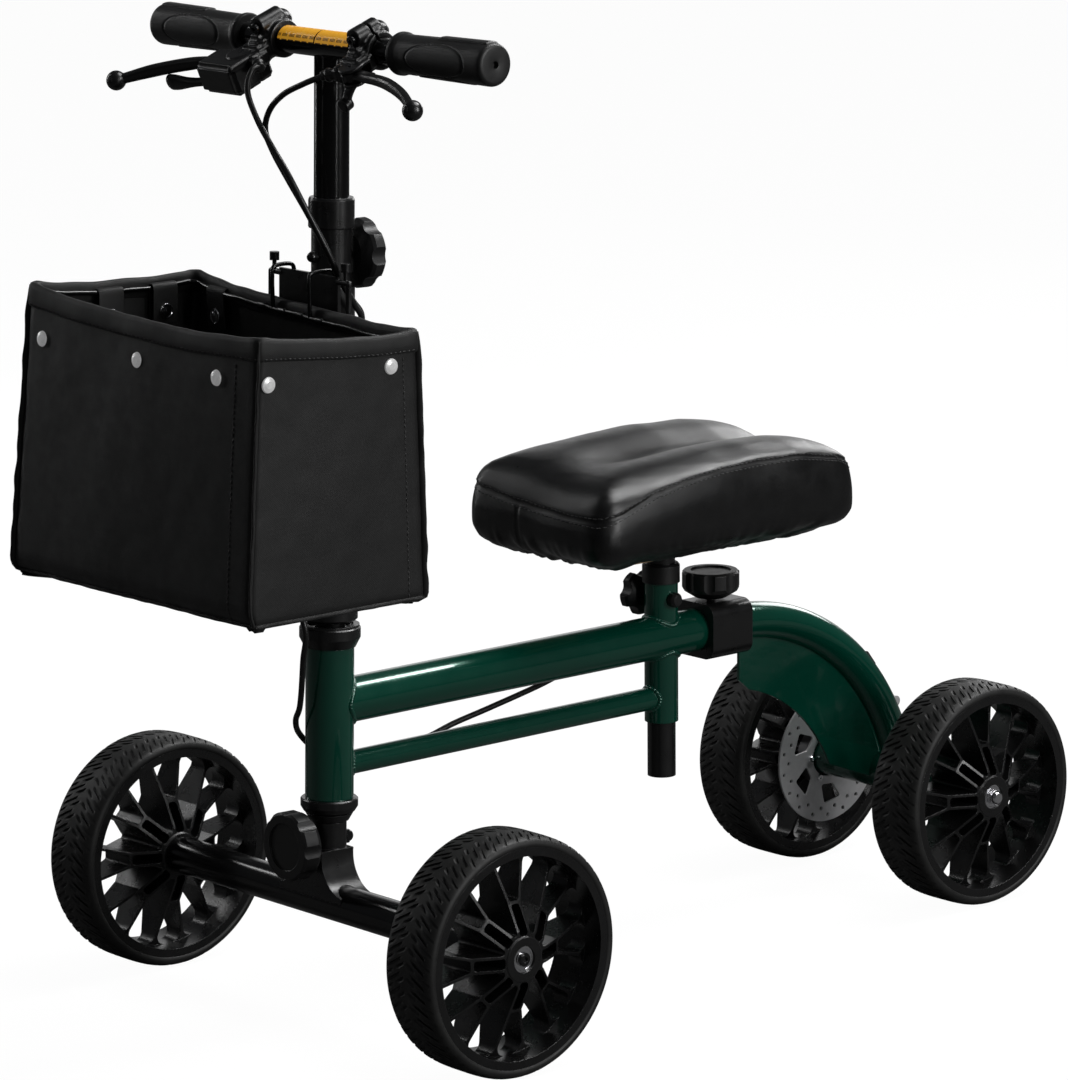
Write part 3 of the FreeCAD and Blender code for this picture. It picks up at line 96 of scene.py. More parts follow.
# ---------------------------------------------------------------- materials
class Nodes:
    """A short way to write a node material."""

    def __init__(self, name):
        self.material = bpy.data.materials.new(name)
        self.material.use_nodes = True
        self.tree = self.material.node_tree
        self.tree.nodes.clear()
        self.output = self.tree.nodes.new("ShaderNodeOutputMaterial")
        self.place = self.add("ShaderNodeTexCoord").outputs["Object"]

    def add(self, kind, inputs=None, **settings):
        node = self.tree.nodes.new("ShaderNode" + kind if not kind.startswith("Shader") else kind)
        for key, value in settings.items():
            setattr(node, key, value)
        for key, value in (inputs or {}).items():
            self.set(node.inputs[key], value)
        return node

    def set(self, socket, value):
        if isinstance(value, bpy.types.NodeSocket):
            self.tree.links.new(value, socket)
        else:
            socket.default_value = value

    def math(self, operation, a, b=0.0):
        return self.add("Math", {0: a, 1: b}, operation=operation).outputs[0]

    def noise(self, scale, detail=4.0, roughness=0.55, place=None):
        node = self.add("TexNoise", {"Vector": place or self.place, "Scale": scale, "Detail": detail,
                                     "Roughness": roughness})
        return node.outputs["Fac"]

    def voronoi(self, scale, feature="F1", place=None, randomness=1.0):
        node = self.add("TexVoronoi", {"Vector": place or self.place, "Scale": scale,
                                       "Randomness": randomness}, feature=feature)
        return node.outputs["Distance"]

    def wave(self, scale, direction, distortion=0.0):
        node = self.add("TexWave", {"Vector": self.place, "Scale": scale, "Distortion": distortion},
                        bands_direction=direction)
        return node.outputs["Fac"]

    def stretch(self, x, y, z):
        node = self.add("Mapping", {"Vector": self.place, "Scale": (x, y, z)})
        return node.outputs["Vector"]

    def ramp(self, value, low, high, out_low=0.0, out_high=1.0):
        node = self.add("MapRange", {"Value": value, "From Min": low, "From Max": high,
                                     "To Min": out_low, "To Max": out_high})
        return node.outputs["Result"]

    def blend(self, factor, a, b):
        node = self.add("Mix", {"Factor": factor}, data_type="RGBA")
        self.set(node.inputs[6], a)
        self.set(node.inputs[7], b)
        return node.outputs[2]

    def bump(self, height, strength, distance, normal=None):
        node = self.add("Bump", {"Height": height, "Strength": strength, "Distance": distance})
        if normal is not None:
            self.set(node.inputs["Normal"], normal)
        return node.outputs["Normal"]

    def soft_edges(self, radius):
        """The normal of an edge rounded by this radius."""
        return self.add("Bevel", {"Radius": radius}, samples=4).outputs["Normal"]

    def edge_mask(self, rounded):
        """1 along sharp outer edges, 0 on flats."""
        straight = self.add("NewGeometry").outputs["Normal"]
        dot = self.add("VectorMath", {0: rounded, 1: straight}, operation="DOT_PRODUCT").outputs["Value"]
        return self.ramp(dot, 0.985, 0.80)

    def finish(self, **inputs):
        shader = self.add("BsdfPrincipled")
        for key, value in inputs.items():
            self.set(shader.inputs[key.replace("_", " ")], value)
        self.tree.links.new(shader.outputs[0], self.output.inputs["Surface"])
        return self.material


def rgb(red, green, blue):
    return (red, green, blue, 1.0)


def grey(level):
    return rgb(level, level, level)


def gloss_paint(name, color, deep, roughness):
    """Powder coat under a clear coat: slight orange peel, cloudy colour, thin coat on the edges."""
    n = Nodes(name)
    rounded = n.soft_edges(0.0009)
    edge = n.math("MULTIPLY", n.edge_mask(rounded), n.ramp(n.noise(260.0), 0.35, 0.7))
    cloud = n.ramp(n.noise(9.0, 3.0), 0.3, 0.7)
    shade = n.blend(n.math("MULTIPLY", cloud, 0.5), color, deep)
    pale = rgb(*[min(1.0, c * 1.9 + 0.012) for c in color[:3]])
    shade = n.blend(n.math("MULTIPLY", edge, 0.45), shade, pale)
    peel = n.bump(n.noise(420.0, 2.0), 0.10, 0.0006, rounded)
    rough = n.ramp(n.noise(55.0, 4.0), 0.2, 0.8, roughness * 0.8, roughness * 1.25)
    return n.finish(Base_Color=shade, Roughness=rough, Normal=peel, Metallic=0.35, Coat_Weight=0.9,
                    Coat_Roughness=0.06, Coat_Normal=n.bump(n.noise(300.0, 1.0), 0.05, 0.0006, rounded),
                    Specular_IOR_Level=0.5)


def satin_black(name, level, roughness, wear):
    """Black coated steel: fine texture, dust in the roughness, greyer edges."""
    n = Nodes(name)
    rounded = n.soft_edges(0.0008)
    edge = n.math("MULTIPLY", n.edge_mask(rounded), n.ramp(n.noise(240.0), 0.3, 0.7))
    base = rgb(level, level, level * 1.03)
    shade = n.blend(n.ramp(n.noise(14.0), 0.3, 0.75), base, rgb(level * 1.7, level * 1.7, level * 1.75))
    shade = n.blend(n.math("MULTIPLY", edge, wear), shade, rgb(0.16, 0.16, 0.165))
    fine = n.bump(n.noise(900.0, 3.0), 0.14, 0.0004, rounded)
    rough = n.ramp(n.noise(70.0, 5.0), 0.25, 0.75, roughness * 0.85, roughness * 1.3)
    return n.finish(Base_Color=shade, Roughness=rough, Normal=fine, Coat_Weight=0.25, Coat_Roughness=0.2)


def moulded_plastic(name, level, roughness):
    """Black moulded plastic: fine spark-eroded grain, smoother ridges with a painted highlight on them, faint
    flow clouds.
    """
    n = Nodes(name)
    rounded = n.soft_edges(0.0007)
    edge = n.edge_mask(rounded)
    grain = n.voronoi(2600.0)
    base = rgb(level, level, level * 1.02)
    shade = n.blend(n.ramp(n.noise(22.0), 0.3, 0.8), base, rgb(level * 1.8, level * 1.8, level * 1.85))
    # painted highlight: the base colour is lightened along every edge, while the lower roughness there is
    # real polish
    shade = n.blend(n.math("MULTIPLY", edge, 0.5), shade, rgb(0.07, 0.07, 0.072))
    rough = n.math("SUBTRACT", n.ramp(n.noise(90.0), 0.2, 0.8, roughness, roughness * 1.35),
                   n.math("MULTIPLY", edge, 0.12))
    return n.finish(Base_Color=shade, Roughness=rough, Normal=n.bump(grain, 0.10, 0.0003, rounded),
                    Specular_IOR_Level=0.55)


def tyre_rubber():
    """Matt grey-black rubber: dusty in the hollows, rubbed smooth on the tread."""
    n = Nodes("tyre_rubber")
    dust = n.ramp(n.noise(38.0, 6.0, 0.65), 0.35, 0.75)
    shade = n.blend(dust, grey(0.008), rgb(0.022, 0.022, 0.021))
    pits = n.noise(1500.0, 2.0)
    rough = n.ramp(n.noise(120.0, 4.0), 0.2, 0.8, 0.42, 0.62)
    return n.finish(Base_Color=shade, Roughness=rough, Normal=n.bump(pits, 0.16, 0.0003),
                    Specular_IOR_Level=0.42)


def grip_rubber():
    """Soft-touch black rubber."""
    n = Nodes("grip_rubber")
    shade = n.blend(n.ramp(n.noise(60.0, 5.0), 0.35, 0.75), grey(0.004), grey(0.0085))
    pores = n.voronoi(1800.0)
    rough = n.ramp(n.noise(150.0), 0.2, 0.8, 0.36, 0.5)
    return n.finish(Base_Color=shade, Roughness=rough, Normal=n.bump(pores, 0.12, 0.0003), Sheen_Weight=0.03)


def pad_vinyl():
    """Upholstery vinyl: fine leather grain under a soft sheen."""
    n = Nodes("pad_vinyl")
    cells = n.voronoi(780.0, "DISTANCE_TO_EDGE", n.stretch(1.0, 1.15, 1.0))
    creases = n.ramp(cells, 0.0, 0.18)
    large = n.noise(160.0, 4.0)
    height = n.math("ADD", creases, n.math("MULTIPLY", large, 0.6))
    cloud = n.ramp(n.noise(26.0, 4.0), 0.3, 0.75)
    shade = n.blend(cloud, rgb(0.0028, 0.0028, 0.003), rgb(0.0058, 0.0058, 0.006))
    # painted shade: the colour is darkened in the grain's creases
    shade = n.blend(n.ramp(creases, 1.0, 0.3, 0.0, 0.5), shade, grey(0.003))
    rough = n.ramp(n.noise(64.0, 5.0), 0.25, 0.75, 0.27, 0.40)
    return n.finish(Base_Color=shade, Roughness=rough, Normal=n.bump(height, 0.14, 0.0004),
                    Sheen_Weight=0.02, Sheen_Roughness=0.4, Coat_Weight=0.10, Coat_Roughness=0.28)


def woven_cloth(name, low, high, roughness):
    """Coated polyester: plain weave, slubs and a dull waxy sheen."""
    n = Nodes(name)
    across = n.wave(420.0, "DIAGONAL", 0.6)
    warp = n.wave(480.0, "Z", 0.8)
    weave = n.math("MULTIPLY", n.math("ADD", across, warp), 0.5)
    slub = n.noise(210.0, 3.0, place=n.stretch(0.25, 0.25, 2.2))
    shade = n.blend(n.ramp(n.noise(17.0, 5.0), 0.3, 0.75), grey(low), rgb(high, high, high * 0.98))
    # painted shade: the colour is darkened in the low places of the weave, between its threads
    shade = n.blend(n.ramp(weave, 0.0, 0.6, 0.45, 0.0), shade, grey(0.002))
    height = n.math("ADD", weave, n.math("MULTIPLY", slub, 0.7))
    rough = n.ramp(n.noise(95.0, 5.0), 0.2, 0.8, roughness, roughness * 1.35)
    return n.finish(Base_Color=shade, Roughness=rough, Normal=n.bump(height, 0.30, 0.0004),
                    Sheen_Weight=0.05, Sheen_Roughness=0.5, Specular_IOR_Level=0.42)


def bright_metal(name, color, roughness, brushed, metallic=1.0):
    """Plated or ground metal: faint brushing and smudges."""
    n = Nodes(name)
    rounded = n.soft_edges(0.0004)
    lines = n.noise(700.0, 2.0, place=n.stretch(*brushed))
    smudge = n.noise(80.0, 5.0)
    shade = n.blend(n.ramp(smudge, 0.35, 0.8, 0.0, 0.35), color, rgb(*[c * 0.6 for c in color[:3]]))
    rough = n.math("ADD", n.ramp(smudge, 0.2, 0.8, roughness * 0.7, roughness * 1.5),
                   n.math("MULTIPLY", lines, roughness * 0.4))
    return n.finish(Base_Color=shade, Roughness=rough, Metallic=metallic,
                    Normal=n.bump(lines, 0.08, 0.0002, rounded))


def stud_cap():
    """Satin nickel press studs with fine scratches, kept pale from any side by a painted glow."""
    n = Nodes("stud_cap")
    scratches = n.noise(900.0, 3.0, place=n.stretch(3.0, 0.4, 0.4))
    shade = n.blend(n.ramp(n.noise(210.0, 4.0), 0.3, 0.75), rgb(0.80, 0.80, 0.79), grey(0.58))
    # painted glow: a faint white emission, though the studs give no light
    return n.finish(Base_Color=shade, Roughness=n.ramp(scratches, 0.2, 0.8, 0.24, 0.42), Metallic=0.35,
                    Emission_Color=grey(1.0), Emission_Strength=0.16,
                    Normal=n.bump(scratches, 0.12, 0.0002, n.soft_edges(0.0004)))


def label_film():
    """The orange bands: printed film with two rows of plain dark dashes."""
    n = Nodes("label_film")
    split = n.add("SeparateXYZ", {"Vector": n.place})
    x_mm = n.math("MULTIPLY", split.outputs["X"], 1000.0)
    dash = n.math("GREATER_THAN", n.math("FRACT", n.math("MULTIPLY", x_mm, 0.115)), 0.22)
    tick = n.math("GREATER_THAN", n.math("FRACT", n.math("MULTIPLY", x_mm, 0.62)), 0.34)
    height = n.math("SUBTRACT", split.outputs["Z"], LABEL_ROW_Z)
    rows = n.math("LESS_THAN", n.math("ABSOLUTE", height), 0.0012)
    small = n.math("LESS_THAN", n.math("ABSOLUTE", n.math("ADD", height, 0.0038)), 0.00045)
    front = n.math("LESS_THAN", split.outputs["Y"], LABEL_ROW_Y)
    ink = n.math("MULTIPLY", n.math("MULTIPLY", dash, tick), rows)
    ink = n.math("MAXIMUM", ink, n.math("MULTIPLY", dash, small))
    ink = n.math("MULTIPLY", ink, front)
    orange = n.blend(n.ramp(n.noise(70.0), 0.3, 0.8), rgb(0.95, 0.42, 0.02), rgb(1.0, 0.52, 0.045))
    shade = n.blend(n.math("MULTIPLY", ink, 0.95), orange, rgb(0.02, 0.012, 0.004))
    # painted glow: the film emits its own colour, though it gives no light
    return n.finish(Base_Color=shade, Roughness=n.ramp(n.noise(200.0), 0.2, 0.8, 0.22, 0.36),
                    Emission_Color=shade, Emission_Strength=0.30,
                    Coat_Weight=0.5, Coat_Roughness=0.12, Normal=n.bump(n.noise(500.0), 0.05, 0.0003))


def cable_skin():
    """Extruded black cable housing."""
    n = Nodes("cable_skin")
    shade = n.blend(n.ramp(n.noise(40.0), 0.3, 0.8), grey(0.006), grey(0.014))
    return n.finish(Base_Color=shade, Roughness=n.ramp(n.noise(180.0), 0.2, 0.8, 0.24, 0.36),
                    Normal=n.bump(n.noise(900.0), 0.06, 0.0003))


def raw_plywood():
    """Bare plywood: long grain with the darker lines of its plies."""
    n = Nodes("raw_plywood")
    plies = n.wave(190.0, "Z", 1.5)
    grain = n.noise(60.0, 6.0, place=n.stretch(4.0, 0.4, 4.0))
    shade = n.blend(n.ramp(grain, 0.3, 0.7), rgb(0.42, 0.28, 0.15), rgb(0.58, 0.43, 0.26))
    shade = n.blend(n.ramp(plies, 0.3, 0.7, 0.0, 0.5), shade, rgb(0.25, 0.15, 0.08))
    return n.finish(Base_Color=shade, Roughness=0.7, Normal=n.bump(grain, 0.2, 0.0004))


def red_lens():
    """Prismatic reflector plastic."""
    n = Nodes("red_lens")
    prisms = n.voronoi(340.0, randomness=0.0)
    shade = n.blend(n.ramp(prisms, 0.0, 0.7), rgb(0.55, 0.01, 0.012), rgb(0.25, 0.004, 0.006))
    return n.finish(Base_Color=shade, Roughness=n.ramp(n.noise(90.0), 0.2, 0.8, 0.08, 0.16), Coat_Weight=1.0,
                    Normal=n.bump(prisms, 0.6, 0.0008))


def thread(name, level):
    """Waxed sewing thread, with the twist of its plies."""
    n = Nodes(name)
    twist = n.wave(900.0, "DIAGONAL")
    shade = n.blend(n.ramp(twist, 0.2, 0.9), grey(level), grey(level * 2.4))
    return n.finish(Base_Color=shade, Roughness=n.ramp(n.noise(300.0), 0.2, 0.8, 0.4, 0.6),
                    Normal=n.bump(twist, 0.3, 0.0002), Sheen_Weight=0.2)


BAR_CENTRE = column_point(0, -8, 712)
LABEL_ROW_Z = BAR_CENTRE.z + 0.0052
LABEL_ROW_Y = BAR_CENTRE.y

GREEN = gloss_paint("green_powder_coat", rgb(0.0, 0.075, 0.045), rgb(0.0, 0.045, 0.028), 0.20)
BLACK = satin_black("black_powder_coat", 0.0042, 0.28, 0.4)
BLACK_GLOSS = satin_black("black_gloss_coat", 0.003, 0.13, 0.3)
CAST = satin_black("black_cast_alloy", 0.005, 0.30, 0.35)
PLASTIC = moulded_plastic("wheel_nylon", 0.0040, 0.24)
KNOB = moulded_plastic("knob_nylon", 0.0045, 0.34)
TYRE = tyre_rubber()
GRIP = grip_rubber()
VINYL = pad_vinyl()
CLOTH = woven_cloth("basket_cloth", 0.0045, 0.0085, 0.46)
TAPE = woven_cloth("binding_tape", 0.0022, 0.0045, 0.55)
CHROME = bright_metal("bright_plating", rgb(0.82, 0.82, 0.84), 0.10, (1.0, 1.0, 1.0))
STUD = stud_cap()
STEEL = bright_metal("ground_steel", rgb(0.74, 0.74, 0.75), 0.42, (0.2, 4.0, 4.0), 0.55)
DARK_STEEL = bright_metal("dark_steel", rgb(0.20, 0.20, 0.205), 0.32, (1.0, 3.0, 1.0))
LABEL = label_film()
CABLE = cable_skin()
PLYWOOD = raw_plywood()
RED = red_lens()
VINYL_THREAD = thread("vinyl_thread", 0.008)
CLOTH_THREAD = thread("cloth_thread", 0.010)

NODE_MATERIALS = {
    GREEN: "main_tube lower_tube seat_tube rear_arch_tube rear_gusset_plate head_tube rear_axle_tube",
    BLACK: "front_yoke steerer_tube column_sleeve basket_bracket headset_cups rear_clamp_block seat_post "
           "brake_calliper stem_guide_collar",
    BLACK_GLOSS: "front_axle_tube stem_tube handlebar column_nuts lever_screws front_wheel_screws",
    PLASTIC: "front_left_rim front_right_rim rear_left_rim rear_right_rim",
    KNOB: "front_knob stem_knob seat_knob rear_clamp_knob seat_tube_cap",
    STUD: "basket_studs",
    CHROME: "headset_bearings rear_axle_rod front_wheel_bearings rear_wheel_bearings rotor_screws",
    STEEL: "brake_rotor brake_return_spring brake_arm pad_screws",
    DARK_STEEL: "rotor_carrier brake_pads",
    PLYWOOD: "pad_board",
    RED: "rear_reflector",
}


def dress_nodes():
    """Gives every carried-over CAD node its material."""
    for material, names in NODE_MATERIALS.items():
        for name in names.split():
            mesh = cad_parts[name].data
            mesh.materials.clear()
            mesh.materials.append(material)


# ---------------------------------------------------------------- mesh helpers
def new_object(name, mesh, material, smooth_angle=40.0):
    mesh.materials.append(material)
    made = bpy.data.objects.new(name, mesh)
    bpy.context.scene.collection.objects.link(made)
    mesh.shade_smooth()
    if smooth_angle is not None:
        mesh.set_sharp_from_angle(angle=math.radians(smooth_angle))
    return made


def settle(made, slot, body, *stood_for):
    """Hides the CAD nodes a piece stands for and hangs it on the body it rides on. Its finish slot is not
    used.
    """
    if stood_for:
        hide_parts(*stood_for)
    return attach(made, body)


def mesh_from(name, points, faces):
    mesh = bpy.data.meshes.new(name)
    mesh.from_pydata([tuple(p) for p in points], [], faces)
    mesh.validate()
    return mesh


def mesh_of(work, mesh=None):
    """Writes a bmesh into a mesh, a new one unless one is given, and lets the bmesh go."""
    if mesh is None:
        mesh = bpy.data.meshes.new("shape")
    work.to_mesh(mesh)
    work.free()
    return mesh


def outward(mesh):
    """Turns every face to look out of its closed shell."""
    work = bmesh.new()
    work.from_mesh(mesh)
    bmesh.ops.recalc_face_normals(work, faces=work.faces)
    return mesh_of(work, mesh)


def rings_mesh(name, rings, closed_run=False):
    """A skin over rings of points that follow one another, capped unless the run closes on itself."""
    count, size = len(rings), len(rings[0])
    points = [p for ring in rings for p in ring]
    faces = []
    for i in range(count if closed_run else count - 1):
        this, after = i * size, (i + 1) % count * size
        for j in range(size):
            beside = (j + 1) % size
            faces.append((this + j, this + beside, after + beside, after + j))
    if not closed_run:
        faces.append(tuple(range(size)))
        faces.append(tuple((count - 1) * size + j for j in range(size)))
    return outward(mesh_from(name, points, faces))


def curve_points(corners, steps):
    """Points along a smooth curve (Catmull-Rom) through the corners."""
    pts = [Vector(c) for c in corners]
    padded = [2 * pts[0] - pts[1]] + pts + [2 * pts[-1] - pts[-2]]
    out = []
    for i in range(1, len(padded) - 2):
        p0, p1, p2, p3 = padded[i - 1:i + 3]
        for k in range(steps):
            t = k / steps
            out.append(0.5 * ((2 * p1) + (p2 - p0) * t + (2 * p0 - 5 * p1 + 4 * p2 - p3) * t * t
                              + (3 * p1 - p0 - 3 * p2 + p3) * t ** 3))
    out.append(pts[-1])
    return out


def sweep_rings(path, half_width, half_height, side_hint, sides=20, power=2.0):
    """Rings of a rounded section along a path. Width lies along the hint's direction."""
    rings = []
    last = len(path) - 1
    for i, centre in enumerate(path):
        along = (path[min(i + 1, last)] - path[max(i - 1, 0)]).normalized()
        side = (side_hint - along * side_hint.dot(along)).normalized()
        rise = along.cross(side)
        t = i / last
        w = half_width(t) if callable(half_width) else half_width
        h = half_height(t) if callable(half_height) else half_height
        ring = []
        for k in range(sides):
            a = 2 * math.pi * k / sides
            c, s = math.cos(a), math.sin(a)
            ring.append(centre + side * (w * math.copysign(abs(c) ** (2 / power), c))
                        + rise * (h * math.copysign(abs(s) ** (2 / power), s)))
        rings.append(ring)
    return rings


def round_ring(spot, side, rise, half_width, half_height, count):
    """An oval ring of points about a spot."""
    turns = [2 * math.pi * k / count for k in range(count)]
    return [spot + side * half_width * math.cos(a) + rise * half_height * math.sin(a) for a in turns]


def ball_mesh(centre, radius, stretch=(1, 1, 1)):
    work = bmesh.new()
    bmesh.ops.create_uvsphere(work, u_segments=28, v_segments=18, radius=radius)
    bmesh.ops.scale(work, vec=stretch, verts=work.verts)
    bmesh.ops.translate(work, vec=centre, verts=work.verts)
    return mesh_of(work)


def drum_mesh(start, end, radius, end_radius=None):
    """A round bar between two points."""
    axis = end - start
    work = bmesh.new()
    bmesh.ops.create_cone(work, cap_ends=True, segments=40, radius1=radius, radius2=end_radius or radius,
                          depth=axis.length)
    turn = axis.to_track_quat("Z", "Y").to_matrix().to_4x4()
    bmesh.ops.transform(work, matrix=Matrix.Translation((start + end) / 2) @ turn, verts=work.verts)
    return mesh_of(work)


def brick_mesh(low, high, round_by=0.0):
    """A block between two corners, its edges rounded."""
    work = bmesh.new()
    bmesh.ops.create_cube(work, size=1.0)
    bmesh.ops.scale(work, vec=high - low, verts=work.verts)
    bmesh.ops.translate(work, vec=(low + high) / 2, verts=work.verts)
    if round_by:
        bmesh.ops.bevel(work, geom=work.edges[:], offset=round_by, segments=3, affect="EDGES")
    return mesh_of(work)


def joined_mesh(meshes, matrix=Matrix()):
    work = bmesh.new()
    for mesh in meshes:
        work.from_mesh(mesh)
    bmesh.ops.transform(work, matrix=matrix, verts=work.verts)
    return mesh_of(work)


def applied(made):
    """Bakes an object's modifiers into its mesh."""
    graph = bpy.context.evaluated_depsgraph_get()
    baked = bpy.data.meshes.new_from_object(made.evaluated_get(graph))
    made.modifiers.clear()
    made.data = baked
    return made


def fuse(made, voxel):
    """Makes one even closed skin out of a piece's overlapping shapes."""
    skin = made.modifiers.new("fuse", "REMESH")
    skin.mode, skin.voxel_size = "VOXEL", voxel
    return applied(made)


CAST_VOXEL = 0.0007


def cast(name, meshes, rounds, matrix, cutters=()):
    """A casting: the shapes are fused, the cutters taken out, and the edges rounded in some rounds."""
    made = new_object(name, joined_mesh(meshes, matrix), CAST, None)
    fuse(made, CAST_VOXEL)
    for cutter in cutters:
        tool = new_object(name + "_tool", joined_mesh([cutter], matrix), CAST, None)
        cut = made.modifiers.new("cut", "BOOLEAN")
        cut.operation, cut.object, cut.solver = "DIFFERENCE", tool, "EXACT"
        applied(made)
        bpy.data.objects.remove(tool)
    if cutters:
        fuse(made, CAST_VOXEL)
    soften = made.modifiers.new("soften", "SMOOTH")
    soften.iterations, soften.factor = rounds, 0.5
    applied(made)
    made.data.materials.clear()
    made.data.materials.append(CAST)
    made.data.shade_smooth()
    return made


# ---------------------------------------------------------------- tyres
TREAD_PITCHES = 52
GROOVE_DEPTH = 0.0014
GROOVED_ABOVE_R = 0.0925
SLANT_PITCHES = 1.35            # how many pitches a block runs on from the middle to the shoulder
TREAD_HALF_WIDTH = 0.028
# places along one pitch where a section of the tread is taken
TREAD_PHASES = (0.0, 0.055, 0.065, 0.2, 0.355, 0.365, 0.46, 0.555, 0.565, 0.68, 0.795, 0.805, 0.9)


def tread_rows():
    """(across, radius) from one bead to the other, through the tread."""
    half = [(22.0, 88.5), (24.0, 91.0), (27.0, 91.0), (27.6, 91.6), (28.0, 92.6), (28.0, 94.0), (27.6, 95.6),
            (26.6, 97.0), (24.6, 98.3), (22.0, 99.2), (19.0, 99.6), (15.5, 99.8), (13.0, 99.9), (11.4, 99.95),
            (9.0, 100.0), (6.4, 100.0), (4.4, 100.0), (2.0, 100.0)]
    return [(x * MM, r * MM) for x, r in half] + [(-x * MM, r * MM) for x, r in reversed(half)]


def groove(across, phase):
    """Depth share of the tread's cuts: short cuts in staggered rows from the middle to the shoulders."""
    reach = abs(across) / MM
    middle_cut = 0.06 < phase < 0.30 and 2.5 < reach < 10.5
    outer_cut = 0.56 < phase < 0.80 and 8.5 < reach < 19.5
    shoulder_cut = 0.06 < phase < 0.30 and 17.5 < reach < 26.0
    if shoulder_cut:
        return 0.8
    return 1.0 if middle_cut or outer_cut else 0.0


def tread_tyre(node, body):
    """A solid tyre with slanted blocks."""
    low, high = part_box(node)
    centre = (low + high) / 2
    lean = SLANT_PITCHES * 2 * math.pi / TREAD_PITCHES / TREAD_HALF_WIDTH
    rings = []
    for pitch in range(TREAD_PITCHES):
        for phase in TREAD_PHASES:
            ring = []
            for across, radius in tread_rows():
                cut = groove(across, phase) * GROOVE_DEPTH if radius > GROOVED_ABOVE_R else 0.0
                slant = lean * max(0.0, abs(across) - 0.002) * smooth_step(0.0905, 0.0915, radius)
                angle = 2 * math.pi * (pitch + phase) / TREAD_PITCHES + slant
                side_cut = cut * smooth_step(0.0985, 0.096, radius) * 0.6
                x = across - math.copysign(side_cut, across)
                r = radius - cut
                ring.append(centre + Vector((x, r * math.cos(angle), r * math.sin(angle))))
            rings.append(ring)
    name = node + "_tread"
    made = new_object(name, rings_mesh(name, rings, closed_run=True), TYRE, 32.0)
    return settle(made, "tyre", body, node)


# ---------------------------------------------------------------- handlebar
GRIP_IN, GRIP_BODY_END = 0.097, 0.2112
GRIP_SIDES, GRIP_STEPS = 144, 130
GRIP_BORE_R = 0.0112
GRIP_OUTLINE = ((0.0970, 0.0166), (0.0985, 0.0176), (0.1015, 0.0176), (0.1030, 0.0168), (0.1060, 0.0162),
                (0.1120, 0.0161), (0.1500, 0.0167), (0.1900, 0.0171), (0.2060, 0.0173), (0.2090, 0.0172),
                (0.2105, 0.0166), (0.2112, 0.0158))      # (along the bar, radius)
GRIP_END = ((0.2118, 0.0148), (0.2120, 0.0135), (0.2120, 0.0040), (0.2118, 0.0031), (0.2105, 0.0028),
            (0.2080, 0.0028), (0.2080, 0.0004))          # the flat end and the hole in it
PALM_PADS = ((-1.62, 0.85), (1.62, 0.85), (math.pi, 0.6))    # (angle from the top, half angle)
PALM_PAD_X = 0.156
RIB_HEIGHT = 0.0014


def bar_matrix(pitch_deg, side):
    """From lever space (bar axis through the origin, +X outward) to the row's frame."""
    tip = Matrix.Rotation(math.radians(pitch_deg) - RAKE, 4, "X")
    flip = Matrix.Diagonal((side, 1, 1, 1))
    return Matrix.Translation(BAR_CENTRE) @ tip @ flip


def grip_radius(x, angle):
    """Radius of a grip's barrel, inner flange, palm pads and top rib."""
    radius = knotted(GRIP_OUTLINE, x)
    for middle, spread in PALM_PADS:
        turn = (angle - middle + math.pi) % (2 * math.pi) - math.pi
        reach = math.hypot((x - PALM_PAD_X) / 0.035, turn / spread)
        radius += 0.0005 * smooth_step(1.0, 0.95, reach) - 0.0006 * math.exp(-((reach - 1.03) / 0.022) ** 2)
    from_top = abs((angle + math.pi) % (2 * math.pi) - math.pi) * radius
    along = smooth_step(0.149, 0.151, x) * smooth_step(0.2085, 0.2065, x)
    return radius + RIB_HEIGHT * smooth_step(0.0068, 0.0058, from_top) * along


def bar_ring(x, radius):
    """A ring round the bar's axis. The radius may depend on the angle from the top."""
    ring = []
    for k in range(GRIP_SIDES):
        angle = 2 * math.pi * k / GRIP_SIDES
        r = radius(angle) if callable(radius) else radius
        ring.append(Vector((x, r * math.sin(angle), r * math.cos(angle))))
    return ring


def grip(side):
    """A moulded rubber grip with oval palm pads, a raised rib on top and a hole in its flat end."""
    rings = [bar_ring(GRIP_IN, GRIP_BORE_R)]
    for k in range(GRIP_STEPS + 1):
        x = mix(GRIP_IN, GRIP_BODY_END, k / GRIP_STEPS)
        rings.append(bar_ring(x, lambda angle: grip_radius(x, angle)))
    rings += [bar_ring(x, r) for x, r in GRIP_END]
    name = "left_hand_grip" if side > 0 else "right_hand_grip"
    mesh = rings_mesh(name, rings)
    mesh.transform(bar_matrix(0, side))
    made = new_object(name, outward(mesh), GRIP, 35.0)
    return settle(made, "rubber", "handlebar", "grips")


# lever space, in millimetres: X out along the bar, Y back, Z up, before the pitch
LEVER_PITCH = 24
LEVER_PIVOT = mm(70, -32, -5)
LEVER_SPOTS = ((0, 0, 0), (22, -4, 0.2), (50, -11, 0.2), (82, -26, 0), (112, -46, -1))
LEVER_OPEN_DEG = 4
CHEEK_LOWS, CHEEK_THICK = (-12.8, -0.4), 3.2


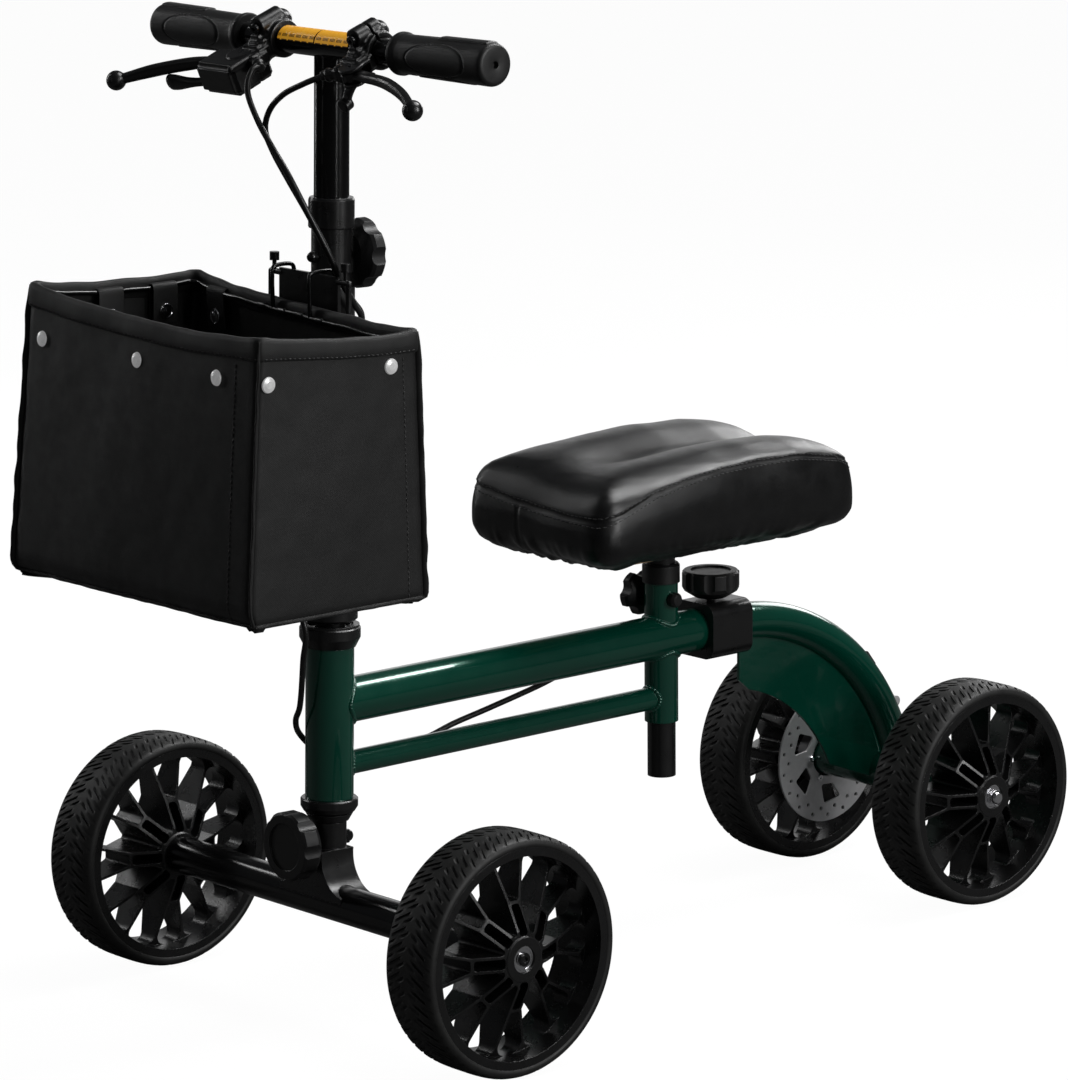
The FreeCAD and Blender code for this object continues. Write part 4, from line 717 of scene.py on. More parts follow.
def lever_clamp(side):
    """The split clamp on the bar with its screw boss, its arm, and the cheeks that hold the lever."""
    hand = "left" if side > 0 else "right"
    band = drum_mesh(mm(50, 0, 0), mm(74, 0, 0), 15.6 * MM)
    boss = drum_mesh(mm(62, -15, 17), mm(62, 10, 16), 8.3 * MM)
    hump = ball_mesh(mm(62, 10, 12), 9.0 * MM, (1.15, 1.0, 1.0))
    neck = brick_mesh(mm(53.5, -14, 2), mm(70.5, 9, 16), 2.5 * MM)
    arm = brick_mesh(mm(52, -30, -11), mm(76, -8, 6), 3.0 * MM)
    shoulder = brick_mesh(mm(54, -24, -2), mm(72, -8, 12), 4.0 * MM)
    cheeks = []
    for low in CHEEK_LOWS:
        cheeks.append(drum_mesh(mm(70, -32, low), mm(70, -32, low + CHEEK_THICK), 10.4 * MM))
    for low in CHEEK_LOWS:
        cheeks.append(brick_mesh(mm(55, -33, low), mm(79.5, -16, low + CHEEK_THICK), 1.3 * MM))
    web = brick_mesh(mm(50, -39, -12), mm(60, -18, 2), 2.4 * MM)
    nose = drum_mesh(mm(39.5, -40.3, -5), mm(53, -33, -5), 4.2 * MM, 5.4 * MM)
    collar = drum_mesh(mm(44, -37.8, -5), mm(47, -36.2, -5), 6.0 * MM)
    shapes = [band, boss, hump, neck, arm, shoulder, web, nose, collar] + cheeks
    if side > 0:
        line = curve_points(at_mm((66, -24, -10), (60, -32, -18), (56, -38, -29)), 6)
        tongue = sweep_rings(line, lambda t: mix(6.5, 4.2, t) * MM, 2.6 * MM, OUTWARD, 20, 2.6)
        foot = drum_mesh(mm(56, -42.5, -30), mm(56, -34.5, -29), 6.0 * MM)
        shapes += [rings_mesh("tongue", tongue), foot]
    slot_cut = brick_mesh(mm(61.5, -52, -9.6), mm(95, -17, -0.4))
    bar_room = drum_mesh(mm(40, 0, 0), mm(90, 0, 0), 11.15 * MM)
    split_room = brick_mesh(mm(45, -1.5, 11), mm(80, 0.3, 30))
    cable_room = drum_mesh(mm(36, -42.2, -5), mm(52, -33.4, -5), 2.6 * MM)
    rooms = [slot_cut, bar_room, split_room, cable_room]
    made = cast(hand + "_lever_clamp", shapes, 2, bar_matrix(LEVER_PITCH, side), rooms)
    return settle(made, "black_metal", "handlebar", "lever_brackets")


def brake_lever(side):
    """A cast lever: an eye on its pin, a deep blade that hooks forward, and a ball end."""
    hand = "left" if side > 0 else "right"
    rest = Matrix.Translation(LEVER_PIVOT) @ Matrix.Rotation(math.radians(LEVER_OPEN_DEG * side), 4, "Z")
    path = curve_points([rest @ mm(*spot) for spot in LEVER_SPOTS], 16)

    def depth(t):
        return (mix(4.0, 5.4, smooth_step(0.30, 0.55, t)) - 1.2 * smooth_step(0.75, 1.0, t)) * MM

    def thickness(t):
        return mix(5.6, 3.9, smooth_step(0.0, 0.5, t)) * MM

    blade = rings_mesh("blade", sweep_rings(path, depth, thickness, UP, 28, 2.8))
    eye = drum_mesh(rest @ mm(0, 0, -4.0), rest @ mm(0, 0, 4.0), 8.2 * MM)
    heel_line = [rest @ spot for spot in at_mm((-4, -9, 0), (0, -3, 0), (14, -2, 0))]
    heel = rings_mesh("heel", sweep_rings(heel_line, 3.9 * MM, 3.6 * MM, UP, 20, 3.0))
    ball = ball_mesh(rest @ mm(*LEVER_SPOTS[-1]), 8.4 * MM)
    lever = cast(hand + "_brake_lever", [blade, eye, heel, ball], 3, bar_matrix(LEVER_PITCH, side))
    return settle(lever, "cast_alloy", hand + "_lever", hand + "_lever")


def parking_lock():
    """The box round the right lever's root, with the short parking lever in it."""
    matrix = bar_matrix(LEVER_PITCH, -1)
    box = brick_mesh(mm(56, -58, -26), mm(106, -26, 2), 4.0 * MM)
    lip = brick_mesh(mm(55.3, -58.6, -3.0), mm(60, -25, 2.6), 1.2 * MM)
    neck = brick_mesh(mm(54, -34, -24), mm(74, -18, -8), 2.5 * MM)
    cover = drum_mesh(mm(71, -33, 1.6), mm(71, -33, 3.4), 11.5 * MM)
    lever_room = brick_mesh(mm(61, -72, -9.6), mm(122, -17, -0.4))
    lock_room = brick_mesh(mm(70, -72, -22), mm(122, -27, -13.6))
    made = cast("parking_lever_box", [box, lip, neck, cover], 2, matrix, [lever_room, lock_room])
    settle(made, "black_metal", "handlebar", "lever_brackets")
    path = curve_points(at_mm((78, -36, -18), (102, -50, -17.8), (122, -58, -17), (137, -61.5, -16)), 12)

    def depth(t):
        return mix(3.4, 7.0, smooth_step(0.45, 0.95, t)) * MM

    blade = rings_mesh("blade", sweep_rings(path, depth, lambda t: mix(4.4, 3.6, t) * MM, UP, 28, 2.6))
    eye = drum_mesh(mm(78, -36, -21.4), mm(78, -36, -14.6), 7.0 * MM)
    paddle = ball_mesh(mm(0, 0, 0), 7.0 * MM, (1.0, 0.55, 1.05))
    paddle.transform(Matrix.Translation(mm(136.5, -61.5, -16)))
    lever = cast("parking_lever", [blade, eye, paddle], 3, matrix)
    return settle(lever, "cast_alloy", "lock_lever", "lock_lever")


BAR_R = 0.0111
FILM = 0.0003
BAND_FROM, BAND_TO = math.radians(-86), math.radians(70)
BAND_STEPS = 48


def label_band(name, x_from, x_to):
    """A printed band on the bar, from its front over its top."""
    section = ((x_from, BAR_R - FILM), (x_from, BAR_R + FILM), (x_to, BAR_R + FILM), (x_to, BAR_R - FILM))
    rings = []
    for k in range(BAND_STEPS + 1):
        angle = mix(BAND_FROM, BAND_TO, k / BAND_STEPS)
        way = Vector((0, math.sin(angle), math.cos(angle)))
        rings.append([way * r + Vector((x, 0, 0)) for x, r in section])
    mesh = rings_mesh(name, rings)
    mesh.transform(bar_matrix(0, 1))
    made = new_object(name, mesh, LABEL, 30.0)
    return settle(made, "black_plastic", "handlebar")


# ---------------------------------------------------------------- soft goods
# (place along Y, height) in millimetres, for the rider's left side (near) and right side (far)
SEAM_NEAR = ((-45, 396), (-21, 402), (16, 415), (52, 422), (95, 427), (135, 428), (187, 427), (235, 419),
             (260, 409))
SEAM_FAR = ((-45, 408), (12, 415), (59, 422), (107, 427), (187, 427), (235, 419), (260, 410))
CROWN_NEAR = ((-45, 425), (0, 429), (52, 434), (95, 437), (135, 438), (187, 436), (235, 429), (260, 422))
CROWN_FAR = ((-45, 431), (20, 436), (60, 438), (125, 440), (187, 437), (235, 430), (260, 424))
PAD_CORNER_R = 0.018
PAD_PROUD = 0.0088        # how far the stuffed cover stands out past the CAD pad on each side
FOOT_LIFT = 0.002
TOP_INSET = 0.003
UNDER_GAP = 0.0006        # the board's underside shows below the cover
PAD_POINTS = 200
PAD_SKIRT_TOP = 0.016
# the gathered lower edge as (height above the pad's foot, distance in from its side)
PAD_SKIRT = ((-0.0068, 0.0290), (-0.0048, 0.0262), (-0.0012, 0.0205), (0.0004, 0.0135), (0.003, 0.0065),
             (0.008, 0.0025), (PAD_SKIRT_TOP, 0.0))
# the side wall as (share of the way up to the seam, distance in from its side)
PAD_WALL = ((0.5, 0.0004), (0.8, 0.0016), (1.0, TOP_INSET))
# the top's rings as shares of the way in from the seam to the middle
PAD_TOP_SHARES = (0.01, 0.025, 0.05, 0.08, 0.12, 0.17, 0.23, 0.30, 0.38, 0.47, 0.56, 0.65, 0.74, 0.83, 0.92)
SHOULDER_RUN = 0.034
VALLEY_DEPTH, VALLEY_HALF_WIDTH = 0.0135, 0.026


def pad_seam_height(x, y):
    """Height of the top seam. The cover dips at its front corner on the rider's left."""
    far_share = min(1.0, max(0.0, (0.082 - x) / 0.165)) ** 2
    y_mm = y / MM
    return mix(knotted(SEAM_NEAR, y_mm), knotted(SEAM_FAR, y_mm), far_share) * MM


PAD_LOW, PAD_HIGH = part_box("knee_pad")
ARC_STEPS = 12


def pad_outline(count, inset):
    """The pad's plan: a rectangle with rounded corners and slightly bowed sides, as (x, y) points."""
    middle = (PAD_LOW + PAD_HIGH) / 2
    half_x = (PAD_HIGH.x - PAD_LOW.x) / 2 + PAD_PROUD - inset
    half_y = (PAD_HIGH.y - PAD_LOW.y) / 2 + PAD_PROUD - inset
    r = PAD_CORNER_R
    spots = []
    corners = ((1, 1, 0), (-1, 1, 90), (-1, -1, 180), (1, -1, 270))
    for side, end, start in corners:
        for k in range(ARC_STEPS + 1):
            a = math.radians(start + 90 * k / ARC_STEPS)
            spots.append((side * (half_x - r) + r * math.cos(a), end * (half_y - r) + r * math.sin(a)))
    spots.append(spots[0])
    reach = [0.0]
    for a, b in zip(spots, spots[1:]):
        reach.append(reach[-1] + math.dist(a, b))
    out, at = [], 0
    for k in range(count):
        want = reach[-1] * k / count
        while reach[at + 1] < want:
            at += 1
        t = (want - reach[at]) / (reach[at + 1] - reach[at])
        x, y = mix(spots[at][0], spots[at + 1][0], t), mix(spots[at][1], spots[at + 1][1], t)
        x *= 1.0 - 0.012 * (y / half_y) ** 2
        out.append((middle.x + x, middle.y + y))
    return out


def inside_pad(x, y):
    """How far a point lies inside the pad's seam outline."""
    middle = (PAD_LOW + PAD_HIGH) / 2
    half = (PAD_HIGH - PAD_LOW) / 2
    r = PAD_CORNER_R
    over_x = abs(x - middle.x) - (half.x + PAD_PROUD - TOP_INSET - r)
    over_y = abs(y - middle.y) - (half.y + PAD_PROUD - TOP_INSET - r)
    outside = math.hypot(max(over_x, 0.0), max(over_y, 0.0)) + min(max(over_x, over_y), 0.0)
    return r - outside


def pad_top(x, y):
    """Height of the pad's top: rounded shoulders, two long lobes and the valley between them."""
    rise = min(1.0, max(0.0, inside_pad(x, y) / SHOULDER_RUN))
    shoulder = math.sqrt(1.0 - (1.0 - rise) ** 2)
    valley = VALLEY_DEPTH * math.exp(-(x / VALLEY_HALF_WIDTH) ** 2) * smooth_step(-0.030, 0.075, y)
    valley *= mix(1.0, 0.7, smooth_step(0.225, 0.258, y))
    near_share = smooth_step(-0.035, 0.035, x)
    crown = mix(knotted(CROWN_FAR, y / MM), knotted(CROWN_NEAR, y / MM), near_share) * MM - valley
    return mix(pad_seam_height(x, y), crown, shoulder)


def pad_mesh():
    """The pad before it is stuffed: gathered under its board, side wall up to the seam, and lobed top."""
    foot = PAD_LOW.z + FOOT_LIFT
    rings = []
    for rise, inset in PAD_SKIRT:
        rings.append([Vector((x, y, foot + rise)) for x, y in pad_outline(PAD_POINTS, inset)])
    for share, inset in PAD_WALL:
        rings.append([Vector((x, y, mix(foot + PAD_SKIRT_TOP, pad_seam_height(x, y), share)))
                      for x, y in pad_outline(PAD_POINTS, inset)])
    outline = pad_outline(PAD_POINTS, TOP_INSET)
    centre_y = (PAD_LOW.y + PAD_HIGH.y) / 2
    for share in PAD_TOP_SHARES:
        ring = []
        for x, y in outline:
            px, py = x * (1 - share), centre_y + (y - centre_y) * (1 - share)
            ring.append(Vector((px, py, pad_top(px, py))))
        rings.append(ring)
    return rings_mesh("knee_pad_cover", rings)


PAD_VOXEL = 0.0045
PAD_PRESSURE = 4.0
PAD_SWELL_CAP = 0.0035
CLOTH_FRAMES = 20
EASE_ROUNDS = 24


def stuff(made):
    """Remeshes the closed pad and swells it with a short cloth run.

    No point moves past the cap, and the swelling is evened out over the skin so that it stays taut.
    """
    fuse(made, PAD_VOXEL)
    rest = [v.co.copy() for v in made.data.vertices]
    cloth = made.modifiers.new("stuffing", "CLOTH")
    cloth.settings.use_pressure = True
    cloth.settings.uniform_pressure_force = PAD_PRESSURE
    cloth.settings.effector_weights.gravity = 0.0
    cloth.point_cache.frame_start, cloth.point_cache.frame_end = 1, CLOTH_FRAMES
    scene = bpy.context.scene
    for step in range(1, CLOTH_FRAMES + 1):
        scene.frame_set(step)
    applied(made)
    scene.frame_set(1)
    swell = []
    for vertex, start in zip(made.data.vertices, rest):
        shift = vertex.co - start
        swell.append(shift.normalized() * min(shift.length, PAD_SWELL_CAP))
    beside = [[] for _ in rest]
    for edge in made.data.edges:
        a, b = edge.vertices
        beside[a].append(b)
        beside[b].append(a)
    for _ in range(EASE_ROUNDS):
        swell = [(swell[k] + sum((swell[j] for j in near), Vector())) / (len(near) + 1)
                 for k, near in enumerate(beside)]
    for vertex, start, shift in zip(made.data.vertices, rest, swell):
        vertex.co = start + shift


def push_vertices(made, rule):
    """Moves each vertex along its normal by what rule(position, normal) says."""
    mesh = made.data
    shifts = [rule(v.co, v.normal) for v in mesh.vertices]
    normals = [v.normal.copy() for v in mesh.vertices]
    for vertex, shift, normal in zip(mesh.vertices, shifts, normals):
        vertex.co += normal * shift
    mesh.update()


STITCH_GAP = 0.0012
THREAD_HALF_WIDTH = 0.00045


def stitches(name, line, made, length, material, lift=0.0002):
    """A row of sewn stitches laid along a line on a piece's surface."""
    tree = BVHTree.FromObject(made, bpy.context.evaluated_depsgraph_get())
    on_skin = [tree.find_nearest(spot)[:2] for spot in line]
    points, faces = [], []
    travelled, start, started_at = 0.0, on_skin[0], 0.0
    for previous, item in zip(on_skin, on_skin[1:]):
        travelled += (item[0] - previous[0]).length
        if start is None and travelled >= started_at:
            start, started_at = item, travelled
        elif start is not None and travelled >= started_at + length:
            one_stitch(points, faces, start, item, lift)
            start, started_at = None, travelled + STITCH_GAP
    return new_object(name, mesh_from(name, points, faces), material, None)


def one_stitch(points, faces, start, end, lift):
    """Adds one thread stitch: a short arched tube with closed ends."""
    (a, normal_a), (b, normal_b) = start, end
    rise = (normal_a + normal_b).normalized()
    side = (b - a).cross(rise)
    if side.length < 1e-7:
        return
    arch = [(0.0, -0.0004), (0.2, lift), (0.5, lift * 1.6), (0.8, lift), (1.0, -0.0004)]
    path = [a.lerp(b, t) + rise * height for t, height in arch]
    first, sides = len(points), 6
    for ring in sweep_rings(path, THREAD_HALF_WIDTH, THREAD_HALF_WIDTH * 0.8, side.normalized(), sides):
        points.extend(ring)
    for i in range(len(path) - 1):
        for j in range(sides):
            low, high = first + i * sides, first + (i + 1) * sides
            faces.append((low + j, low + (j + 1) % sides, high + (j + 1) % sides, high + j))
    faces.append(tuple(first + j for j in reversed(range(sides))))
    faces.append(tuple(first + (len(path) - 1) * sides + j for j in range(sides)))


def seam_line(lift, inset):
    """Points round the pad at its top seam, lifted up or down."""
    return [Vector((x, y, pad_seam_height(x, y) + lift)) for x, y in pad_outline(1400, inset)]


FRONT_SEAM_X = -0.020


def pad_folds(spot, normal):
    """How far the cover stands out or in: seam groove, piping roll, gathered foot and loose folds."""
    side_wall = 1.0 - abs(normal.z)
    seam = (spot.z - pad_seam_height(spot.x, spot.y)) / MM
    on_wall = smooth_step(0.25, 0.6, side_wall)
    groove_in = -1.2 * MM * math.exp(-(seam / 1.3) ** 2) * on_wall
    roll = 0.5 * MM * math.exp(-((seam - 3.5) / 2.4) ** 2) * on_wall
    low = smooth_step(PAD_LOW.z + 0.024, PAD_LOW.z + 0.003, spot.z)
    around = math.atan2(spot.y - (PAD_LOW.y + PAD_HIGH.y) / 2, spot.x * 1.7)
    gather = noise.noise(Vector((around * 7.0, spot.z * 40.0, 3.1))) * 2.6 * MM
    gather += noise.noise(Vector((around * 19.0, spot.z * 24.0, 8.7))) * 1.2 * MM
    soft = noise.noise(spot * 13.0) * 0.5 * MM
    upright = 0.0
    if spot.y < PAD_LOW.y + 0.02:
        off_seam = (spot.x - FRONT_SEAM_X) / 0.0012
        upright = -0.9 * MM * math.exp(-off_seam ** 2) * smooth_step(-1.0, -4.0, seam)
    return groove_in + roll + low * gather + soft + upright


def knee_pad():
    """The stuffed vinyl pad with its double-stitched top seam and gathered lower edge."""
    made = new_object("knee_pad_cover", pad_mesh(), VINYL, None)
    stuff(made)
    refine = made.modifiers.new("refine", "SUBSURF")
    refine.levels = refine.render_levels = 1
    smooth = made.modifiers.new("ease", "SMOOTH")
    smooth.iterations, smooth.factor = 5, 0.5
    applied(made)
    board_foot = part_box("pad_board")[0].z
    for vertex in made.data.vertices:
        vertex.co.z = max(vertex.co.z, board_foot + UNDER_GAP)
    push_vertices(made, pad_folds)
    made.data.shade_smooth()
    for k, lift in enumerate((0.0030, -0.0028)):
        row = stitches("pad_stitches_%d" % k, seam_line(lift, 0.001), made, 0.0034, VINYL_THREAD)
        settle(row, "vinyl", "seat")
    return settle(made, "vinyl", "seat", "knee_pad")


# corners in the order left front, left rear, right rear, right front; walls left, rear, right, front
BAG_TOP_CORNERS = [(0.164, -0.465), (0.164, -0.302), (-0.160, -0.284), (-0.163, -0.447)]
BAG_FOOT_CORNERS = [(0.158, -0.475), (0.160, -0.293), (-0.156, -0.287), (-0.160, -0.475)]
BAG_RIM_LIFT = [0.0, -0.011, -0.001, 0.006]
BAG_FOOT, BAG_TOP = 0.380, 0.610
BAG_HEIGHT = BAG_TOP - BAG_FOOT
BAG_WALLS = 4
WALL_STEPS, BEND_STEPS = 56, 4
CORNER_R = 0.007
HEM = 0.0155
CLOTH_THICK = 0.0022
REAR_WALL, RIGHT_WALL = 1, 2
WALL_BELLY = (0.0020, 0.0015, 0.0025, 0.0025)
RIM_DROOP = (0.0015, 0.001, 0.002, 0.0055)


def bag_corner(k, share):
    """Corner k of the bag at a share of its height."""
    (x0, y0), (x1, y1) = BAG_FOOT_CORNERS[k % BAG_WALLS], BAG_TOP_CORNERS[k % BAG_WALLS]
    lift = BAG_RIM_LIFT[k % BAG_WALLS] * smooth_step(0.5, 1.0, share)
    return Vector((mix(x0, x1, share), mix(y0, y1, share), mix(BAG_FOOT, BAG_TOP, share) + lift))


def wall_ways(k, share):
    """Along and out of wall k, in plan."""
    run = bag_corner(k + 1, share) - bag_corner(k, share)
    along = Vector((run.x, run.y, 0)).normalized()
    return along, Vector((along.y, -along.x, 0))


def bag_loop(share, inset, per_side=WALL_STEPS):
    """One level round the bag as (point, outward direction, wall, place along the wall)."""
    loop = []
    for k in range(BAG_WALLS):
        along, out = wall_ways(k, share)
        before, after = wall_ways(k - 1, share)[1], wall_ways(k + 1, share)[1]
        start = bag_corner(k, share) - (before + out) * inset + along * CORNER_R
        end = bag_corner(k + 1, share) - (after + out) * inset - along * CORNER_R
        for step in range(per_side + 1):
            t = step / per_side
            loop.append((start.lerp(end, t), out, k, t))
        pivot = end - out * CORNER_R
        for step in range(1, BEND_STEPS):
            a = math.pi / 2 * step / BEND_STEPS
            way = (out * math.cos(a) + after * math.sin(a)).normalized()
            loop.append((pivot + way * CORNER_R, way, k, 1.0))
    return loop


def foot_tuck(share, radius):
    """How far a wall curls in at its foot, on a quarter round of this radius."""
    height = share * BAG_HEIGHT
    if height >= radius:
        return 0.0
    return radius - math.sqrt(radius ** 2 - (radius - height) ** 2)


def bag_point(spot, out, wall, along, share):
    """The cloth's place: bellied walls, a drooping rim, a curled foot, ripples and stiff corners."""
    middle = math.sin(math.pi * min(1.0, max(0.0, along)))
    belly = WALL_BELLY[wall] * middle * math.sin(math.pi * share) ** 0.7
    ripple = 0.0011 * noise.noise(Vector((spot.x * 18.0, spot.y * 18.0, spot.z * 8.0)) + Vector((4, 1, 7)))
    fine = 0.0004 * noise.noise(spot * 55.0 + Vector((9, 2, 5)))
    drop = RIM_DROOP[wall] * middle * smooth_step(0.6, 1.0, share)
    uneven = 0.0013 * noise.noise(Vector((spot.x * 34.0, spot.y * 34.0, 2.0))) * share
    crown = 0.0016 * (1.0 - middle) ** 6 * smooth_step(0.93, 1.0, share)
    place = spot + out * (belly + ripple * (0.3 + 0.7 * middle) + fine)
    front_radius = 0.020 if out.y < 0 else 0.008
    place.x -= out.x * foot_tuck(share, 0.009)
    place.y -= out.y * foot_tuck(share, front_radius)
    near_rear_right = smooth_step(0.30, 0.0, (spot - bag_corner(2, share)).length / 0.30)
    place.y += 0.010 * near_rear_right * smooth_step(0.55, 1.0, share)
    place.z += uneven + crown - drop
    return place


def bag_row(share, inset, per_side=WALL_STEPS):
    return [bag_point(s, o, w, a, share) for s, o, w, a in bag_loop(share, inset, per_side)]


def basket_bag():
    """The sewn bag: bellied walls and a sagging floor in one cloth, with thickness."""
    shares = [0.0, 0.006, 0.016, 0.03, 0.048, 0.07, 0.095, 0.13] + [0.17 + 0.83 * k / 34 for k in range(35)]
    rows = [bag_row(share, 0.0012) for share in shares]
    size = len(rows[0])
    middle_x = sum(x for x, y in BAG_FOOT_CORNERS) / BAG_WALLS
    middle_y = sum(y for x, y in BAG_FOOT_CORNERS) / BAG_WALLS
    centre = Vector((middle_x, middle_y, BAG_FOOT + 0.0006))
    floor_rows = []
    for t in (0.96, 0.84, 0.66, 0.46, 0.24, 0.06):
        floor_rows.append([centre.lerp(p, t) - UP * (0.0014 * math.cos(math.pi / 2 * t)
                                                     - 0.0008 * noise.noise(p * 30.0 * t)) for p in rows[0]])
    rows = floor_rows[::-1] + rows
    points = [p for row in rows for p in row]
    faces = []
    for i in range(len(rows) - 1):
        for j in range(size):
            low, high, nxt = i * size, (i + 1) * size, (j + 1) % size
            faces.append((low + j, low + nxt, high + nxt, high + j))
    points.append(centre - UP * 0.0014)
    faces += [((j + 1) % size, j, len(points) - 1) for j in range(size)]
    made = new_object("basket_cloth", outward_open(mesh_from("basket_cloth", points, faces)), CLOTH, 60.0)
    thick = made.modifiers.new("thickness", "SOLIDIFY")
    thick.thickness, thick.offset = CLOTH_THICK, -1.0
    applied(made)
    made.data.shade_smooth()
    return settle(made, "cloth", "basket", "basket_bag")


def outward_open(mesh):
    """Makes an open shell's faces agree and look away from its middle."""
    work = bmesh.new()
    work.from_mesh(mesh)
    bmesh.ops.recalc_face_normals(work, faces=work.faces)
    work.normal_update()
    centre = sum((v.co for v in work.verts), Vector()) / len(work.verts)
    score = sum(f.normal.dot(f.calc_center_median() - centre) for f in work.faces)
    if score < 0:
        bmesh.ops.reverse_faces(work, faces=work.faces)
    return mesh_of(work, mesh)


def basket_hem():
    """The folded hem round the rim: outside, over and inside, fuller where it holds the wire."""
    low = 1.0 - HEM / BAG_HEIGHT
    middle = 1.0 - HEM / BAG_HEIGHT / 2
    turns = [(low, 0.0014, 0), (low, 0.0002, 0), (low + 0.006, -0.0004, 0), (middle, -0.0006, 0),
             (0.99, -0.0004, 0), (1.0, 0.0003, 0.0006), (1.0, 0.0016, 0.0014), (1.0, 0.0034, 0.0013),
             (1.0, 0.0052, 0.0001), (0.985, 0.0060, 0), (middle, 0.0058, 0), (low + 0.008, 0.0048, 0),
             (low, 0.0038, 0)]
    rings = [[p + UP * lift for p in bag_row(share, inset)] for share, inset, lift in turns]
    made = new_object("basket_hem", rings_mesh("basket_hem", rings, closed_run=True), CLOTH, None)
    return settle(made, "cloth", "basket")


def corner_line(k, low_share=0.0):
    """The upright line where wall k meets the next one."""
    bend = (k + 1) * (WALL_STEPS + BEND_STEPS) - BEND_STEPS // 2
    line = []
    for level in range(61):
        share = mix(low_share, 1.0 - 0.004, level / 60)
        spot, out, wall, along = bag_loop(share, 0.0010)[bend]
        line.append((bag_point(spot, out, wall, along, share), out))
    return line


def corner_flap(k):
    """The bag's corner seam: two cloth edges sewn face to face, standing out as a wavy flap."""
    rings = []
    line = corner_line(k)
    for level, (spot, out) in enumerate(line):
        nxt, last = line[min(level + 1, len(line) - 1)][0], line[max(level - 1, 0)][0]
        side = (nxt - last).cross(out).normalized()
        bend = 0.0014 * noise.noise(Vector((spot.z * 42.0, k * 3.7, 1.0)))
        reach = 0.0042 + 0.0012 * noise.noise(Vector((spot.z * 60.0, k * 5.1, 4.0)))
        reach *= smooth_step(1.02, 0.93, level / (len(line) - 1)) * 0.55 + 0.45
        ring = []
        for step in range(14):
            a = 2 * math.pi * step / 14
            tip = (math.cos(a) + 1) / 2
            ring.append(spot - out * 0.0016 + out * (reach + 0.0016) * tip
                        + side * (0.00135 * math.sin(a) + bend * tip ** 1.5))
        rings.append(ring)
    made = new_object("basket_corner_seam_%d" % k, rings_mesh("flap", rings), TAPE, None)
    return settle(made, "cloth", "basket")


def floor_seam():
    """The bound seam round the bag's floor."""
    share = 0.02
    loop = bag_loop(share, 0.0008)
    spots = [(bag_point(s, o, w, a, share), (o - UP * 0.9).normalized()) for s, o, w, a in loop]
    rings = []
    for k, (spot, lean) in enumerate(spots):
        along = spots[(k + 1) % len(spots)][0] - spots[k - 1][0]
        side = along.cross(lean).normalized()
        height = 0.0022 + 0.0008 * noise.noise(spot * 80.0)
        rings.append(round_ring(spot, side, lean, 0.0016, height, 12))
    made = new_object("basket_floor_seam", rings_mesh("floor_seam", rings, closed_run=True), TAPE, None)
    return settle(made, "cloth", "basket")


def basket_stitching(bag):
    """Rows of thread along the hem's foot and beside the corner seams."""
    share = 1.0 - (HEM - 0.0018) / BAG_HEIGHT
    line = bag_row(share, -0.0008, 330)
    rows = [stitches("hem_stitches", line + line[:1], bag, 0.0030, CLOTH_THREAD, 0.0018)]
    levels, per_side = 560, 40
    for k in range(BAG_WALLS):
        beside_corner = k * (per_side + BEND_STEPS) + per_side - 3
        spots = []
        for level in range(levels):
            height_share = level / levels * (1.0 - HEM / BAG_HEIGHT)
            spot, out, wall, along = bag_loop(height_share, 0.0, per_side)[beside_corner]
            spots.append(bag_point(spot, out, wall, along, height_share))
        rows.append(stitches("corner_stitches_%d" % k, spots, bag, 0.0030, CLOTH_THREAD))
    for row in rows:
        settle(row, "cloth", "basket")


HOOP_R, HOOP_DROP, HOOP_INSET = 0.0021, 0.0075, 0.0086
HOOP_STEPS = 24
HOOK_R = 0.0018
SLEEVE_R = 0.0031


def basket_wire():
    """The wire hoop under the rim, with the sleeves on its rear side, and its two hooks."""
    path = [p - UP * HOOP_DROP for p in bag_row(1.0, HOOP_INSET, HOOP_STEPS)]
    rings = []
    for k, spot in enumerate(path):
        along = (path[(k + 1) % len(path)] - path[k - 1]).normalized()
        side = along.cross(UP).normalized()
        rise = side.cross(along)
        rings.append(round_ring(spot, side, rise, HOOP_R, HOOP_R, 14))
    pieces = [rings_mesh("hoop", rings, closed_run=True)]
    loop = bag_loop(1.0, HOOP_INSET, HOOP_STEPS)
    rear = [p for p, item in zip(path, loop) if item[2] == REAR_WALL]
    plate_top = column_point(0, -24, 527)

    def on_rear(x):
        after = min(i for i, p in enumerate(rear) if p.x <= x)
        a, b = rear[after - 1], rear[after]
        return a.lerp(b, (a.x - x) / (a.x - b.x))

    for x in (-0.026, 0.026):
        foot = on_rear(x)
        over = plate_top.z + 0.0040
        back = column_point(x / MM, -18, 527)
        hook = [foot, foot + UP * 0.006, Vector((x, foot.y, over - 0.005)), Vector((x, foot.y + 0.004, over)),
                Vector((x, back.y - 0.004, over)), Vector((x, back.y, over - 0.005)),
                Vector((x, back.y, over - 0.020))]
        pieces.append(rings_mesh("hook", sweep_rings(curve_points(hook, 5), HOOK_R, HOOK_R, OUTWARD, 14)))
    for x in (-0.040, -0.012, 0.012, 0.040):
        pieces.append(drum_mesh(on_rear(x - 0.004), on_rear(x + 0.004), SLEEVE_R))
    made = new_object("basket_wire", joined_mesh(pieces), BLACK_GLOSS)
    return settle(made, "black_metal", "basket", "basket_wire_frame")


# a tab's fold over the wire, in millimetres: (inward, up)
TAB_FOLD = ((-2.6, -28), (-2.7, -6), (-2.2, 2.2), (0, 3.4), (3.0, 1.2), (3.2, -8), (2.0, -30))
TAB_HALF_WIDTH, TAB_HALF_THICK = 0.0125, 0.0007
